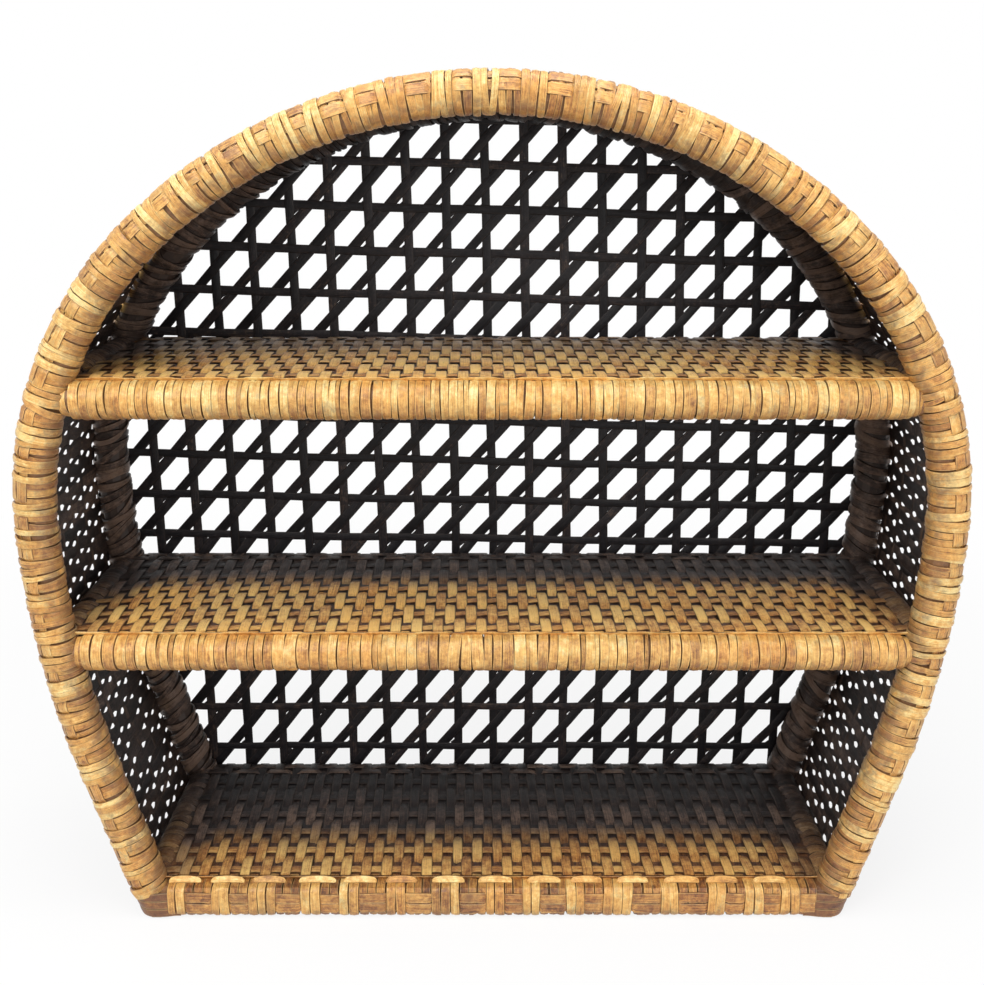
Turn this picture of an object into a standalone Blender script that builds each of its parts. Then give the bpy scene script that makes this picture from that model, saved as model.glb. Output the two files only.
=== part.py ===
"""Rattan wall shelf: two bent pole hoops, three woven decks, a woven side wall and a cane lattice back."""

import math

import bmesh
import bpy
from mathutils import Vector
from mathutils.geometry import delaunay_2d_cdt

# Frame and clearances, in metres. X is the width, the front faces -Y, Z is up from the floor.
GAP = 0.0003
CUT_OVERRUN = 0.010
CREASE_ANGLE = math.radians(40)
HOOP_SPACING = 0.168

# Bent hoop: the outline of its centre line, from the crown down to the feet
CROWN_RADIUS = 0.342
SHOULDER_RADIUS = 0.274
FLANK_RADIUS = 0.685
SHOULDER_ANGLE = math.radians(47)
LEG_LEAN = math.radians(16)
WIDEST_HEIGHT = 0.3116
CROWN_STEPS = 5
SHOULDER_STEPS = 5
FLANK_STEPS = 3

# Poles: every round piece has this many flats, with one flat square to each axis
ROUND_SIDES = 12
HOOP_POLE_RADIUS = 0.0120
FRONT_RAIL_RADIUS = 0.0105
REAR_RAIL_RADIUS = 0.0085
CROSS_BAR_RADIUS = 0.0095
CROSS_BAR_PROUD = 0.0020
SQUARED_CORNER_SHARE = 0.45
SQUARED_CORNER_STEPS = 2

# Peel binding wound round the poles, each over the gap round its pole
HOOP_BINDING = 0.0022
RAIL_BINDING = 0.0025
BAR_BINDING = 0.0022
BINDING_FOOT_LIFT = 0.0010

# Woven decks: a web with raised weft rows, rolled over the rear rail
DECK_WEB = 0.0018
WEFT_RISE = 0.0008
WEFT_PITCH = 0.0262
WEFT_WIDTH = 0.0170
WEFT_CHAMFER = 0.0012
WEFT_SHIFT = -0.0085
ROLL_FLATS = 4
MIDDLE_DECK_TOP = 0.234
UPPER_DECK_TOP = 0.421

# Trim strip laid along the front edge of each deck
TRIM_DEPTH = 0.0022
TRIM_HEIGHT = 0.0028
TRIM_CHAMFER = 0.0005

# Woven wall that closes the sides and the dome, laid outside the cross bars, with openings between its wefts
WALL_OFFSET = 0.0098
WALL_THICKNESS = 0.0024
WALL_FOOT_LIFT = 0.0010
WALL_OPENING_PITCH = 0.0262
WALL_OPENING_DEPTH = 0.0150
WALL_OPENING_LENGTH = 0.0260
WALL_ROW_PITCH = 0.0470
WALL_OPENINGS_ACROSS = 5

# Cane lattice on the back
LATTICE_THICKNESS = 0.0026
LATTICE_UPRIGHT = 0.0074
LATTICE_LEVEL = 0.0068
LATTICE_DIAGONAL = 0.0079
LATTICE_COLUMN_PITCH = 0.03205
LATTICE_COLUMN_SHIFT = 0.0008
LATTICE_BREAK_HEIGHT = 0.2605
LATTICE_UPPER_PITCH = 0.0348
LATTICE_LOWER_PITCH = 0.0402
LATTICE_FOOT = 0.0110
LATTICE_FALL_SHARE = 0.027
LATTICE_FALL_START = 0.110
LATTICE_FALL_END = 0.330
LATTICE_SQUEEZE_SHARE = 0.03
LATTICE_LEAN_SHARE = 0.0225
LATTICE_LEAN_START = 0.250
LATTICE_LEAST_GAP = 0.0030
CDT_INSIDE = 1

# Nails that hold the rails between the hoop's legs
NAIL_RADIUS = 0.0010
NAIL_BITE = 0.026
NAIL_SINK = 0.0008
NAIL_POINT = 0.0030
NAIL_SIDES = 8

# Sizes that follow from the ones above
HALF_SPACING = HOOP_SPACING / 2
HALF_FLAT_ANGLE = math.pi / ROUND_SIDES
CORNER = 1 / math.cos(HALF_FLAT_ANGLE)
HOOP_BOUND_RADIUS = HOOP_POLE_RADIUS + GAP + HOOP_BINDING
RAIL_BOUND_RADIUS = FRONT_RAIL_RADIUS + GAP + RAIL_BINDING
BAR_BOUND_RADIUS = CROSS_BAR_RADIUS + GAP + BAR_BINDING
DECK_THICKNESS = DECK_WEB + WEFT_RISE
BOTTOM_DECK_TOP = 2 * RAIL_BOUND_RADIUS + GAP + DECK_THICKNESS
LEVELS = {"bottom": BOTTOM_DECK_TOP, "middle": MIDDLE_DECK_TOP, "upper": UPPER_DECK_TOP}
SIDES = {"left": -1, "right": 1}
HOOPS = {"front": -HALF_SPACING, "back": HALF_SPACING}


def clear_scene():
    """Remove whatever the file holds, so only this part is left."""
    for item in list(bpy.data.objects):
        bpy.data.objects.remove(item, do_unlink=True)


def make_material(name, colour, roughness, metallic=0.0):
    """A plain Principled material of one colour."""
    material = bpy.data.materials.new(name)
    material.use_nodes = True
    shader = material.node_tree.nodes["Principled BSDF"]
    shader.inputs["Base Color"].default_value = (*colour, 1.0)
    shader.inputs["Roughness"].default_value = roughness
    shader.inputs["Metallic"].default_value = metallic
    material.diffuse_color = (*colour, 1.0)
    return material


def make_object(name, bm, material=None):
    """Turn a bmesh into a named object with smooth round sides and crisp edges."""
    bmesh.ops.recalc_face_normals(bm, faces=bm.faces[:])
    mesh = bpy.data.meshes.new(name)
    bm.to_mesh(mesh)
    bm.free()
    mesh.shade_smooth()
    mesh.set_sharp_from_angle(angle=CREASE_ANGLE)
    item = bpy.data.objects.new(name, mesh)
    bpy.context.scene.collection.objects.link(item)
    if material:
        mesh.materials.append(material)
    return item


def make_cutter(name, bm):
    """A guide that only cuts other pieces."""
    cutter = make_object(name, bm)
    cutter.hide_render = True
    cutter.display_type = "WIRE"
    return cutter


def cut(item, cutters):
    """Cut a piece by each cutter in turn."""
    for cutter in cutters:
        modifier = item.modifiers.new("cut_" + cutter.name, "BOOLEAN")
        modifier.operation = "DIFFERENCE"
        modifier.solver = "EXACT"
        modifier.object = cutter
    return item


def round_section(radius, sides=ROUND_SIDES):
    """Corners of a round section whose flats lie at the radius, counted anticlockwise."""
    step = 2 * math.pi / sides
    reach = radius / math.cos(step / 2)
    corners = []
    for index in range(sides):
        angle = step * (index + 0.5)
        corners.append((reach * math.cos(angle), reach * math.sin(angle)))
    return corners


def squared_section(radius):
    """Corners of a square section with rounded edges and the same reach along both axes."""
    inner = radius * (1 - SQUARED_CORNER_SHARE)
    rounding = radius - inner
    corners = []
    for quarter in range(4):
        middle = math.pi / 2 * (quarter + 1 / 2)
        for step in range(SQUARED_CORNER_STEPS + 1):
            angle = math.pi / 2 * (quarter + step / SQUARED_CORNER_STEPS)
            across = math.copysign(inner, math.cos(middle)) + rounding * math.cos(angle)
            up = math.copysign(inner, math.sin(middle)) + rounding * math.sin(angle)
            corners.append((across, up))
    return corners


def skin(bm, rings):
    """Join rings of points end to end with faces and return their vertices."""
    loops = [[bm.verts.new(point) for point in ring] for ring in rings]
    for near, far in zip(loops, loops[1:]):
        for index in range(len(near)):
            follow = (index + 1) % len(near)
            bm.faces.new((near[index], near[follow], far[follow], far[index]))
    return loops


def loft(rings, bore_rings=None):
    """A closed solid through rings of points, with an open bore through it where one is given."""
    bm = bmesh.new()
    outer = skin(bm, rings)
    if bore_rings is None:
        bm.faces.new(outer[0])
        bm.faces.new(outer[-1])
        return bm
    bore = skin(bm, bore_rings)
    for end in (0, -1):
        for index in range(len(outer[end])):
            follow = (index + 1) % len(outer[end])
            bm.faces.new((outer[end][index], outer[end][follow], bore[end][follow], bore[end][index]))
    return bm


def half_hoop():
    """Points and outward normals of the hoop's centre line, from the crown to the right foot."""
    stations = []
    crown_height = WIDEST_HEIGHT - (CROWN_RADIUS - SHOULDER_RADIUS) * math.sin(SHOULDER_ANGLE)
    for index in range(CROWN_STEPS):
        angle = math.pi / 2 - (math.pi / 2 - SHOULDER_ANGLE) * index / CROWN_STEPS
        stations.append((0, crown_height, CROWN_RADIUS, angle))
    shoulder_x = (CROWN_RADIUS - SHOULDER_RADIUS) * math.cos(SHOULDER_ANGLE)
    for index in range(SHOULDER_STEPS):
        angle = SHOULDER_ANGLE * (1 - index / SHOULDER_STEPS)
        stations.append((shoulder_x, WIDEST_HEIGHT, SHOULDER_RADIUS, angle))
    flank_x = shoulder_x + SHOULDER_RADIUS - FLANK_RADIUS
    for index in range(FLANK_STEPS + 1):
        angle = -LEG_LEAN * index / FLANK_STEPS
        stations.append((flank_x, WIDEST_HEIGHT, FLANK_RADIUS, angle))
    line = []
    for centre_x, centre_z, radius, angle in stations:
        normal = (math.cos(angle), math.sin(angle))
        line.append((centre_x + radius * normal[0], centre_z + radius * normal[1], *normal))
    last_x, last_z, normal_x, normal_z = line[-1]
    foot_x = last_x - last_z * math.tan(LEG_LEAN)
    line.append((foot_x, 0, normal_x, normal_z))
    return line


def whole_hoop():
    """The centre line from the left foot over the crown to the right foot."""
    right = half_hoop()
    left = [(-x, z, -normal_x, normal_z) for x, z, normal_x, normal_z in right[1:]]
    return left[::-1] + right


def hoop_x(height):
    """Half width of the hoop's centre line at a height below its shoulders' top."""
    line = half_hoop()
    for upper, lower in zip(line, line[1:]):
        if lower[1] <= height <= upper[1]:
            share = (height - lower[1]) / (upper[1] - lower[1])
            return lower[0] + share * (upper[0] - lower[0])
    return line[-1][0]


def hoop_slant(height):
    """Level share of the hoop's outward normal at a height: 1 where the hoop stands upright."""
    line = half_hoop()
    for upper, lower in zip(line, line[1:]):
        if lower[1] <= height <= upper[1]:
            rise = upper[1] - lower[1]
            return rise / math.hypot(rise, upper[0] - lower[0])
    return math.cos(LEG_LEAN)


def hoop_rings(section, depth, foot):
    """Rings of a section carried along the hoop, with both feet cut level at the given height."""
    line = whole_hoop()
    rings = []
    for index, (x, z, normal_x, normal_z) in enumerate(line):
        ring = [(x + out * normal_x, depth + along, z + out * normal_z) for out, along in section]
        if index in (0, len(line) - 1):
            lean = math.copysign(math.tan(LEG_LEAN), x)
            ring = [(px + (foot - pz) * lean, py, foot) for px, py, pz in ring]
        rings.append(ring)
    return rings


def hoop_tube(radius, depth, foot, bore_radius=None):
    """A round hoop, or a sleeve round one."""
    rings = hoop_rings(round_section(radius), depth, foot)
    if bore_radius is None:
        return loft(rings)
    return loft(rings, hoop_rings(round_section(bore_radius), depth, foot))


def bar_rings(section, start, end, place, along):
    """Two rings of a straight bar along X or Y, through the place given on the other two axes."""
    rings = []
    for reach in (start, end):
        ring = []
        for across, up in section:
            if along == "X":
                ring.append((reach, place[0] + across, place[1] + up))
            else:
                ring.append((place[0] + across, reach, place[1] + up))
        rings.append(ring)
    return rings


def straight_bar(section, start, end, place, along, bore=None):
    """A straight bar, or a sleeve round one where the section of its bore is given."""
    rings = bar_rings(section, start, end, place, along)
    if bore is None:
        return loft(rings)
    return loft(rings, bar_rings(bore, start, end, place, along))


def underside(level):
    """Height of a deck's underside, where it lies on its rails and bars."""
    return LEVELS[level] - DECK_THICKNESS


def front_rail_height(level):
    """Height of a front rail's axis."""
    return underside(level) - GAP - RAIL_BOUND_RADIUS


def rear_rail_height(level):
    """Height of a rear rail's axis."""
    return underside(level) - GAP - REAR_RAIL_RADIUS


def cross_bar_height(level):
    """Height of a cross bar's axis: its binding stands a little above the deck."""
    return LEVELS[level] + CROSS_BAR_PROUD - BAR_BOUND_RADIUS


def cross_bar_x(level):
    """Distance of a cross bar's axis from the middle: its binding lies against the wall's inner face."""
    height = cross_bar_height(level)
    inset = BAR_BOUND_RADIUS * CORNER + GAP - WALL_OFFSET
    return hoop_x(height) - inset / hoop_slant(height)


def rail_section(level, radius):
    """The bottom front rail is squared so that it stands flat, and the others are round."""
    if level == "bottom":
        return squared_section(radius)
    return round_section(radius)


def rails():
    """Each rail's name, section, section with clearance, depth and height."""
    found = []
    for level in LEVELS:
        height = front_rail_height(level)
        section = rail_section(level, FRONT_RAIL_RADIUS)
        clear = rail_section(level, FRONT_RAIL_RADIUS + GAP)
        found.append((level + "_front_rail", section, clear, -HALF_SPACING, height))
        section = round_section(REAR_RAIL_RADIUS)
        clear = round_section(REAR_RAIL_RADIUS + GAP)
        found.append((level + "_rear_rail", section, clear, HALF_SPACING, rear_rail_height(level)))
    return found


def nail_rings(side, depth, height, radius, outer, inner, point):
    """Rings of a nail or of its hole, along X from outside the leg into the rail's end."""
    centre = hoop_x(height)
    spans = [(centre + outer, radius), (centre - inner + point, radius)]
    if point:
        spans.append((centre - inner, radius / 2))
    rings = []
    for reach, ring_radius in spans:
        section = round_section(ring_radius, NAIL_SIDES)
        rings.append([(side * reach, depth + across, height + up) for across, up in section])
    return rings


def build_cutters():
    """Guides that shape the ends of rails, bars, sleeves and decks, and the holes for the nails."""
    cutters = {}
    for name, depth in HOOPS.items():
        foot = -CUT_OVERRUN
        pole = hoop_tube(HOOP_POLE_RADIUS + GAP, depth, foot)
        cutters[name + "_hoop"] = make_cutter("guide_" + name + "_hoop", pole)
        bound = hoop_tube(HOOP_BOUND_RADIUS + GAP, depth, foot)
        cutters[name + "_bound_hoop"] = make_cutter("guide_" + name + "_bound_hoop", bound)
    for name, section, clear, depth, height in rails():
        reach = hoop_x(height)
        bar = straight_bar(clear, -reach, reach, (depth, height), "X")
        cutters[name] = make_cutter("guide_" + name, bar)
        for side_name, side in SIDES.items():
            outer = HOOP_POLE_RADIUS + CUT_OVERRUN
            inner = HOOP_POLE_RADIUS + NAIL_BITE + GAP
            rings = nail_rings(side, depth, height, NAIL_RADIUS + GAP, outer, inner, 0)
            hole = name + "_" + side_name + "_nail"
            cutters[hole] = make_cutter("guide_" + hole, loft(rings))
    for level in LEVELS:
        for side_name, side in SIDES.items():
            place = (side * cross_bar_x(level), cross_bar_height(level))
            name = level + "_" + side_name
            section = round_section(CROSS_BAR_RADIUS + GAP)
            bar = straight_bar(section, -HALF_SPACING, HALF_SPACING, place, "Y")
            cutters[name + "_cross_bar"] = make_cutter("guide_" + name + "_cross_bar", bar)
            section = round_section(BAR_BOUND_RADIUS + GAP)
            bar = straight_bar(section, -HALF_SPACING, HALF_SPACING, place, "Y")
            cutters[name + "_bound_bar"] = make_cutter("guide_" + name + "_bound_bar", bar)
    return cutters


def build_hoops(cutters, materials):
    """The two bent hoops, and the peel binding wound round each of them."""
    for name, depth in HOOPS.items():
        rail_kind = "_front_rail" if name == "front" else "_rear_rail"
        nails = [cutters[key] for key in cutters if rail_kind in key and key.endswith("_nail")]
        rail_cuts = [cutters[level + rail_kind] for level in LEVELS]
        bar_cuts = [cutters[key] for key in cutters if key.endswith("_cross_bar")]
        pole = hoop_tube(HOOP_POLE_RADIUS, depth, 0)
        cut(make_object(name + "_hoop", pole, materials["pole"]), nails)
        sleeve = hoop_tube(HOOP_BOUND_RADIUS, depth, BINDING_FOOT_LIFT, HOOP_POLE_RADIUS + GAP)
        slot = "golden_peel" if name == "front" else "brown_peel"
        cut(make_object(name + "_hoop_binding", sleeve, materials[slot]), rail_cuts + bar_cuts)


def build_rails(cutters, materials):
    """Front and rear rails with ends shaped to the hoops, and the binding of the front ones."""
    for name, section, clear, depth, height in rails():
        hoop = "front" if depth < 0 else "back"
        reach = hoop_x(height)
        nails = [cutters[name + "_" + side + "_nail"] for side in SIDES]
        pole = straight_bar(section, -reach, reach, (depth, height), "X")
        cut(make_object(name, pole, materials["pole"]), [cutters[hoop + "_hoop"]] + nails)
    for level in LEVELS:
        reach = cross_bar_x(level) - (CROSS_BAR_RADIUS + GAP) * CORNER
        place = (-HALF_SPACING, front_rail_height(level))
        section = rail_section(level, RAIL_BOUND_RADIUS)
        bore = rail_section(level, FRONT_RAIL_RADIUS + GAP)
        sleeve = straight_bar(section, -reach, reach, place, "X", bore)
        item = make_object(level + "_front_rail_binding", sleeve, materials["golden_peel"])
        cut(item, [cutters["front_bound_hoop"]])


def build_cross_bars(cutters, materials):
    """Bars from hoop to hoop at both ends of each deck, with their binding."""
    for level in LEVELS:
        hoop_cuts = [cutters["front_hoop"], cutters["back_hoop"]]
        rail_cuts = [cutters[level + "_front_rail"], cutters[level + "_rear_rail"]]
        bound_reach = HALF_SPACING - HOOP_BOUND_RADIUS * CORNER - GAP
        for side_name, side in SIDES.items():
            place = (side * cross_bar_x(level), cross_bar_height(level))
            name = level + "_" + side_name + "_cross_bar"
            section = round_section(CROSS_BAR_RADIUS)
            pole = straight_bar(section, -HALF_SPACING, HALF_SPACING, place, "Y")
            cut(make_object(name, pole, materials["pole"]), hoop_cuts + rail_cuts)
            section = round_section(BAR_BOUND_RADIUS)
            bore = round_section(CROSS_BAR_RADIUS + GAP)
            sleeve = straight_bar(section, -bound_reach, bound_reach, place, "Y", bore)
            make_object(name + "_binding", sleeve, materials["brown_peel"])


def deck_section(level):
    """Outline of a deck across its depth: weft rows on top and the roll over the rear rail."""
    top = LEVELS[level]
    low = top - WEFT_RISE
    bottom = underside(level)
    outline = [(-HALF_SPACING, bottom), (-HALF_SPACING, low)]
    count = int(HOOP_SPACING // WEFT_PITCH)
    for index in range(count):
        centre = (index - (count - 1) / 2) * WEFT_PITCH + WEFT_SHIFT
        outline.append((centre - WEFT_WIDTH / 2, low))
        outline.append((centre - WEFT_WIDTH / 2 + WEFT_CHAMFER, top))
        outline.append((centre + WEFT_WIDTH / 2 - WEFT_CHAMFER, top))
        outline.append((centre + WEFT_WIDTH / 2, low))
    bore = REAR_RAIL_RADIUS + GAP
    axis_height = bottom - bore
    first = math.pi / 2 - HALF_FLAT_ANGLE
    angles = [first - 2 * HALF_FLAT_ANGLE * index for index in range(ROLL_FLATS + 1)]
    for radius, order in ((bore + DECK_WEB, angles), (bore, angles[::-1])):
        for angle in order:
            reach = radius * CORNER
            outline.append((HALF_SPACING + reach * math.cos(angle), axis_height + reach * math.sin(angle)))
    return outline


def build_decks(cutters, materials):
    """Three woven decks notched round the legs, each with a trim strip along its front edge."""
    hoop_cuts = [cutters["front_bound_hoop"], cutters["back_bound_hoop"]]
    for level in LEVELS:
        reach = cross_bar_x(level)
        section = deck_section(level)
        rings = [[(x, y, z) for y, z in section] for x in (-reach, reach)]
        bar_cuts = [cutters[level + "_" + side + "_bound_bar"] for side in SIDES]
        cut(make_object(level + "_deck", loft(rings), materials["deck_weave"]), hoop_cuts + bar_cuts)
        back = -HALF_SPACING - GAP
        front = back - TRIM_DEPTH
        foot = underside(level)
        head = foot + TRIM_HEIGHT
        section = [(back, foot), (back, head), (front + TRIM_CHAMFER, head)]
        section += [(front, head - TRIM_CHAMFER), (front, foot)]
        reach = hoop_x(foot)
        rings = [[(x, y, z) for y, z in section] for x in (-reach, reach)]
        item = make_object(level + "_deck_trim", loft(rings), materials["pale_trim"])
        cut(item, [cutters["front_bound_hoop"]])


def net_solid(loops, creases, places):
    """A thin solid from a flat sheet whose first loop is its outline and whose others are gaps.

    Creases are lines in the sheet. The two places turn a point of the sheet into one on each face."""
    points = []
    faces = []
    edges = []
    for loop in loops:
        faces.append(list(range(len(points), len(points) + len(loop))))
        points += [Vector(point) for point in loop]
    for crease in creases:
        edges.append((len(points), len(points) + 1))
        points += [Vector(point) for point in crease]
    sheet = delaunay_2d_cdt(points, edges, faces, CDT_INSIDE, 0)
    bm = bmesh.new()
    near, far = ([bm.verts.new(place(point)) for point in sheet[0]] for place in places)
    rim = {}
    for triangle, owners in zip(sheet[2], sheet[5]):
        if len(owners) != 1:
            continue
        bm.faces.new([near[index] for index in triangle])
        bm.faces.new([far[index] for index in triangle])
        for start, end in zip(triangle, triangle[1:] + triangle[:1]):
            if (end, start) in rim:
                del rim[end, start]
            else:
                rim[start, end] = True
    for start, end in rim:
        bm.faces.new((near[start], near[end], far[end], far[start]))
    return bm


def wall_loops(marks, half_depth):
    """Outline of the unrolled wall and its staggered openings, none of which crosses a bend."""
    outline = [(mark, -half_depth) for mark in marks]
    outline += [(mark, half_depth) for mark in marks[::-1]]
    loops = [outline]
    half_length = WALL_OPENING_LENGTH / 2
    half_opening = WALL_OPENING_DEPTH / 2
    number = 0
    for near, far in zip(marks, marks[1:]):
        count = round((far - near) / WALL_ROW_PITCH)
        for row in range(count):
            middle = near + (far - near) * (2 * row + 1) / (2 * count)
            for place in range(number % 2, WALL_OPENINGS_ACROSS, 2):
                centre = (place - (WALL_OPENINGS_ACROSS - 1) / 2) * WALL_OPENING_PITCH
                sides = [middle - half_length, middle + half_length]
                ends = [centre - half_opening, centre + half_opening]
                corners = [(sides[0], ends[0]), (sides[1], ends[0]), (sides[1], ends[1]), (sides[0], ends[1])]
                loops.append(corners)
            number += 1
    return loops


def build_wall(materials):
    """The woven wall that runs up one side, over the dome and down the other, from hoop to hoop."""
    inner = WALL_OFFSET
    outer = inner + WALL_THICKNESS
    bound = HOOP_BOUND_RADIUS * CORNER + GAP
    half_depth = HALF_SPACING - math.sqrt(bound ** 2 - inner ** 2)
    rings = hoop_rings([(inner, 0), (outer, 0)], 0, WALL_FOOT_LIFT)
    marks = [0]
    for near, far in zip(rings, rings[1:]):
        marks.append(marks[-1] + math.dist(near[0], far[0]))

    def face_point(point, face):
        """A point of the unrolled wall on its inner or outer face."""
        panel = 0
        while panel < len(marks) - 2 and point[0] > marks[panel + 1]:
            panel += 1
        share = (point[0] - marks[panel]) / (marks[panel + 1] - marks[panel])
        near, far = Vector(rings[panel][face]), Vector(rings[panel + 1][face])
        x, y, z = near.lerp(far, share)
        return (x, point[1], z)

    creases = [((mark, -half_depth), (mark, half_depth)) for mark in marks[1:-1]]
    places = [lambda point: face_point(point, 0), lambda point: face_point(point, 1)]
    solid = net_solid(wall_loops(marks, half_depth), creases, places)
    make_object("side_wall", solid, materials["wall_weave"])


def inset_outline(inset, foot):
    """The hoop's outline drawn in by a distance and closed along the bottom, anticlockwise."""
    line = half_hoop()
    points = [(x - inset * across, z - inset * up) for x, z, across, up in line[:-1]]
    corner_x, corner_z = points[-1]
    points.append((corner_x - (corner_z - foot) * math.tan(LEG_LEAN), foot))
    mirrored = [(-x, z) for x, z in points[1:]]
    return points[::-1] + mirrored


def clip(polygon, outline):
    """The part of a polygon inside a convex anticlockwise outline."""
    for start, end in zip(outline, outline[1:] + outline[:1]):
        kept = []
        edge = (end[0] - start[0], end[1] - start[1])
        for here, there in zip(polygon, polygon[1:] + polygon[:1]):
            side_here = edge[0] * (here[1] - start[1]) - edge[1] * (here[0] - start[0])
            side_there = edge[0] * (there[1] - start[1]) - edge[1] * (there[0] - start[0])
            if side_here >= 0:
                kept.append(here)
            if (side_here >= 0) != (side_there >= 0):
                share = side_here / (side_here - side_there)
                kept.append(tuple(a + share * (b - a) for a, b in zip(here, there)))
        polygon = kept
    return polygon


def polygon_span(polygon):
    """The smaller of a polygon's width and height, and its area."""
    if len(polygon) < 3:
        return 0, 0
    across = [x for x, z in polygon]
    up = [z for x, z in polygon]
    area = 0
    for here, there in zip(polygon, polygon[1:] + polygon[:1]):
        area += (here[0] * there[1] - there[0] * here[1]) / 2
    return min(max(across) - min(across), max(up) - min(up)), abs(area)


def merge_close(polygon):
    """A polygon without corners that lie closer together than the gap."""
    kept = []
    for point in polygon:
        if not kept or math.dist(point, kept[-1]) > GAP:
            kept.append(point)
    if len(kept) > 1 and math.dist(kept[0], kept[-1]) <= GAP:
        kept.pop()
    return kept


def lattice_cell(pitch):
    """A six-sided gap: a rectangle whose upper left and lower right corners a diagonal strip crosses."""
    half_width = (LATTICE_COLUMN_PITCH - LATTICE_UPRIGHT) / 2
    half_height = (pitch - LATTICE_LEVEL) / 2
    slope = pitch / LATTICE_COLUMN_PITCH
    rise = pitch / 2 - LATTICE_DIAGONAL / 2 * math.hypot(1, slope)
    left_height = rise - slope * half_width
    top_x = (half_height - rise) / slope
    return [(-half_width, -half_height), (-top_x, -half_height), (half_width, -left_height),
            (half_width, half_height), (top_x, half_height), (-half_width, left_height)]


def lattice_rows(top):
    """Height and pitch of each row of gaps, closer above the break than below it."""
    rows = []
    height = LATTICE_BREAK_HEIGHT
    while height < top:
        rows.append((height, LATTICE_UPPER_PITCH))
        height += LATTICE_UPPER_PITCH
    joint = (LATTICE_UPPER_PITCH + LATTICE_LOWER_PITCH) / 2
    height = LATTICE_BREAK_HEIGHT - joint
    while height > -LATTICE_LOWER_PITCH:
        rows.append((height, LATTICE_LOWER_PITCH))
        height -= LATTICE_LOWER_PITCH
    return rows


def skewed(x, z, top):
    """A lattice point where the rows fall to the right, and the columns close up and lean towards the crown."""
    above = max(0, z - LATTICE_FALL_START)
    fall = LATTICE_FALL_SHARE * min(1, above / (LATTICE_FALL_END - LATTICE_FALL_START))
    squeeze = LATTICE_SQUEEZE_SHARE * (above / (top - LATTICE_FALL_START)) ** 2
    lean = LATTICE_LEAN_SHARE * max(0, z - LATTICE_LEAN_START)
    return (x * (1 - squeeze) - lean, z - fall * x)


def build_lattice(materials):
    """One woven lattice sheet behind the rear rails, with six-sided gaps cut to the hoop's outline."""
    front = REAR_RAIL_RADIUS + GAP + DECK_WEB + GAP
    slant = 2 * HALF_FLAT_ANGLE
    edge_inset = (HOOP_BOUND_RADIUS + GAP - front * math.cos(slant)) / math.sin(slant)
    outline = inset_outline(edge_inset, LATTICE_FOOT)
    window = inset_outline(HOOP_BOUND_RADIUS, BOTTOM_DECK_TOP)
    top = max(z for x, z in outline)
    widest = max(x for x, z in outline)
    columns = int(widest // LATTICE_COLUMN_PITCH) + 1
    loops = [merge_close(outline)]
    for height, pitch in lattice_rows(top + LATTICE_UPPER_PITCH):
        for column in range(-columns, columns + 1):
            centre = (column + 0.5) * LATTICE_COLUMN_PITCH + LATTICE_COLUMN_SHIFT
            cell = [skewed(centre + x, height + z, top) for x, z in lattice_cell(pitch)]
            cell = merge_close(clip(cell, window))
            width, area = polygon_span(cell)
            if width > LATTICE_LEAST_GAP and area > LATTICE_LEAST_GAP * LATTICE_UPRIGHT:
                loops.append(cell)
    near = HALF_SPACING + front
    far = near + LATTICE_THICKNESS
    places = [lambda point: (point[0], near, point[1]), lambda point: (point[0], far, point[1])]
    make_object("back_lattice", net_solid(loops, [], places), materials["dark_cane"])


def build_nails(materials):
    """One nail through each leg into each rail's end, sunk below the leg's surface."""
    for name, section, clear, depth, height in rails():
        for side_name, side in SIDES.items():
            outer = HOOP_POLE_RADIUS - NAIL_SINK
            inner = HOOP_POLE_RADIUS + NAIL_BITE
            rings = nail_rings(side, depth, height, NAIL_RADIUS, outer, inner, NAIL_POINT)
            make_object(name + "_" + side_name + "_nail", loft(rings), materials["nail"])


def main():
    """Build the whole shelf."""
    clear_scene()
    materials = {
        "pole": make_material("pole", (0.52, 0.36, 0.19), 0.55),
        "golden_peel": make_material("golden_peel", (0.60, 0.38, 0.14), 0.35),
        "brown_peel": make_material("brown_peel", (0.10, 0.065, 0.045), 0.45),
        "pale_trim": make_material("pale_trim", (0.70, 0.50, 0.24), 0.38),
        "deck_weave": make_material("deck_weave", (0.20, 0.14, 0.09), 0.50),
        "wall_weave": make_material("wall_weave", (0.06, 0.042, 0.036), 0.50),
        "dark_cane": make_material("dark_cane", (0.022, 0.017, 0.018), 0.50),
        "nail": make_material("nail", (0.45, 0.45, 0.46), 0.40, 1.0),
    }
    cutters = build_cutters()
    build_hoops(cutters, materials)
    build_rails(cutters, materials)
    build_cross_bars(cutters, materials)
    build_decks(cutters, materials)
    build_wall(materials)
    build_lattice(materials)
    build_nails(materials)


main()
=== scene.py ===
"""Looks of the rattan wall shelf: peel wraps, woven decks and wall, cane lattice, camera, lamps and floor."""
import math

import bpy
import numpy as np
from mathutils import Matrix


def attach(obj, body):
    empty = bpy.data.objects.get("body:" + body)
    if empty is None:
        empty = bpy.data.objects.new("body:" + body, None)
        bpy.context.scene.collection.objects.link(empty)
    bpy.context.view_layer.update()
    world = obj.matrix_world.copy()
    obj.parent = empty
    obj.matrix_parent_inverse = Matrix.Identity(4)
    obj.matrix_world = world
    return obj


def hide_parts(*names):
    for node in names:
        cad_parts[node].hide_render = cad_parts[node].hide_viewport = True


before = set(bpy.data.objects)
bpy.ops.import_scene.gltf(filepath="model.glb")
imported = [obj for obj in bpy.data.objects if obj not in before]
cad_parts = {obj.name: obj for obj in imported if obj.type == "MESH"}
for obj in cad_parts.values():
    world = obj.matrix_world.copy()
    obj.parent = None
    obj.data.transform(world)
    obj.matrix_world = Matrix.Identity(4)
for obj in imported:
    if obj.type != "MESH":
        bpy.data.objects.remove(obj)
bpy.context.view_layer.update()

TAU = math.tau
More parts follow.
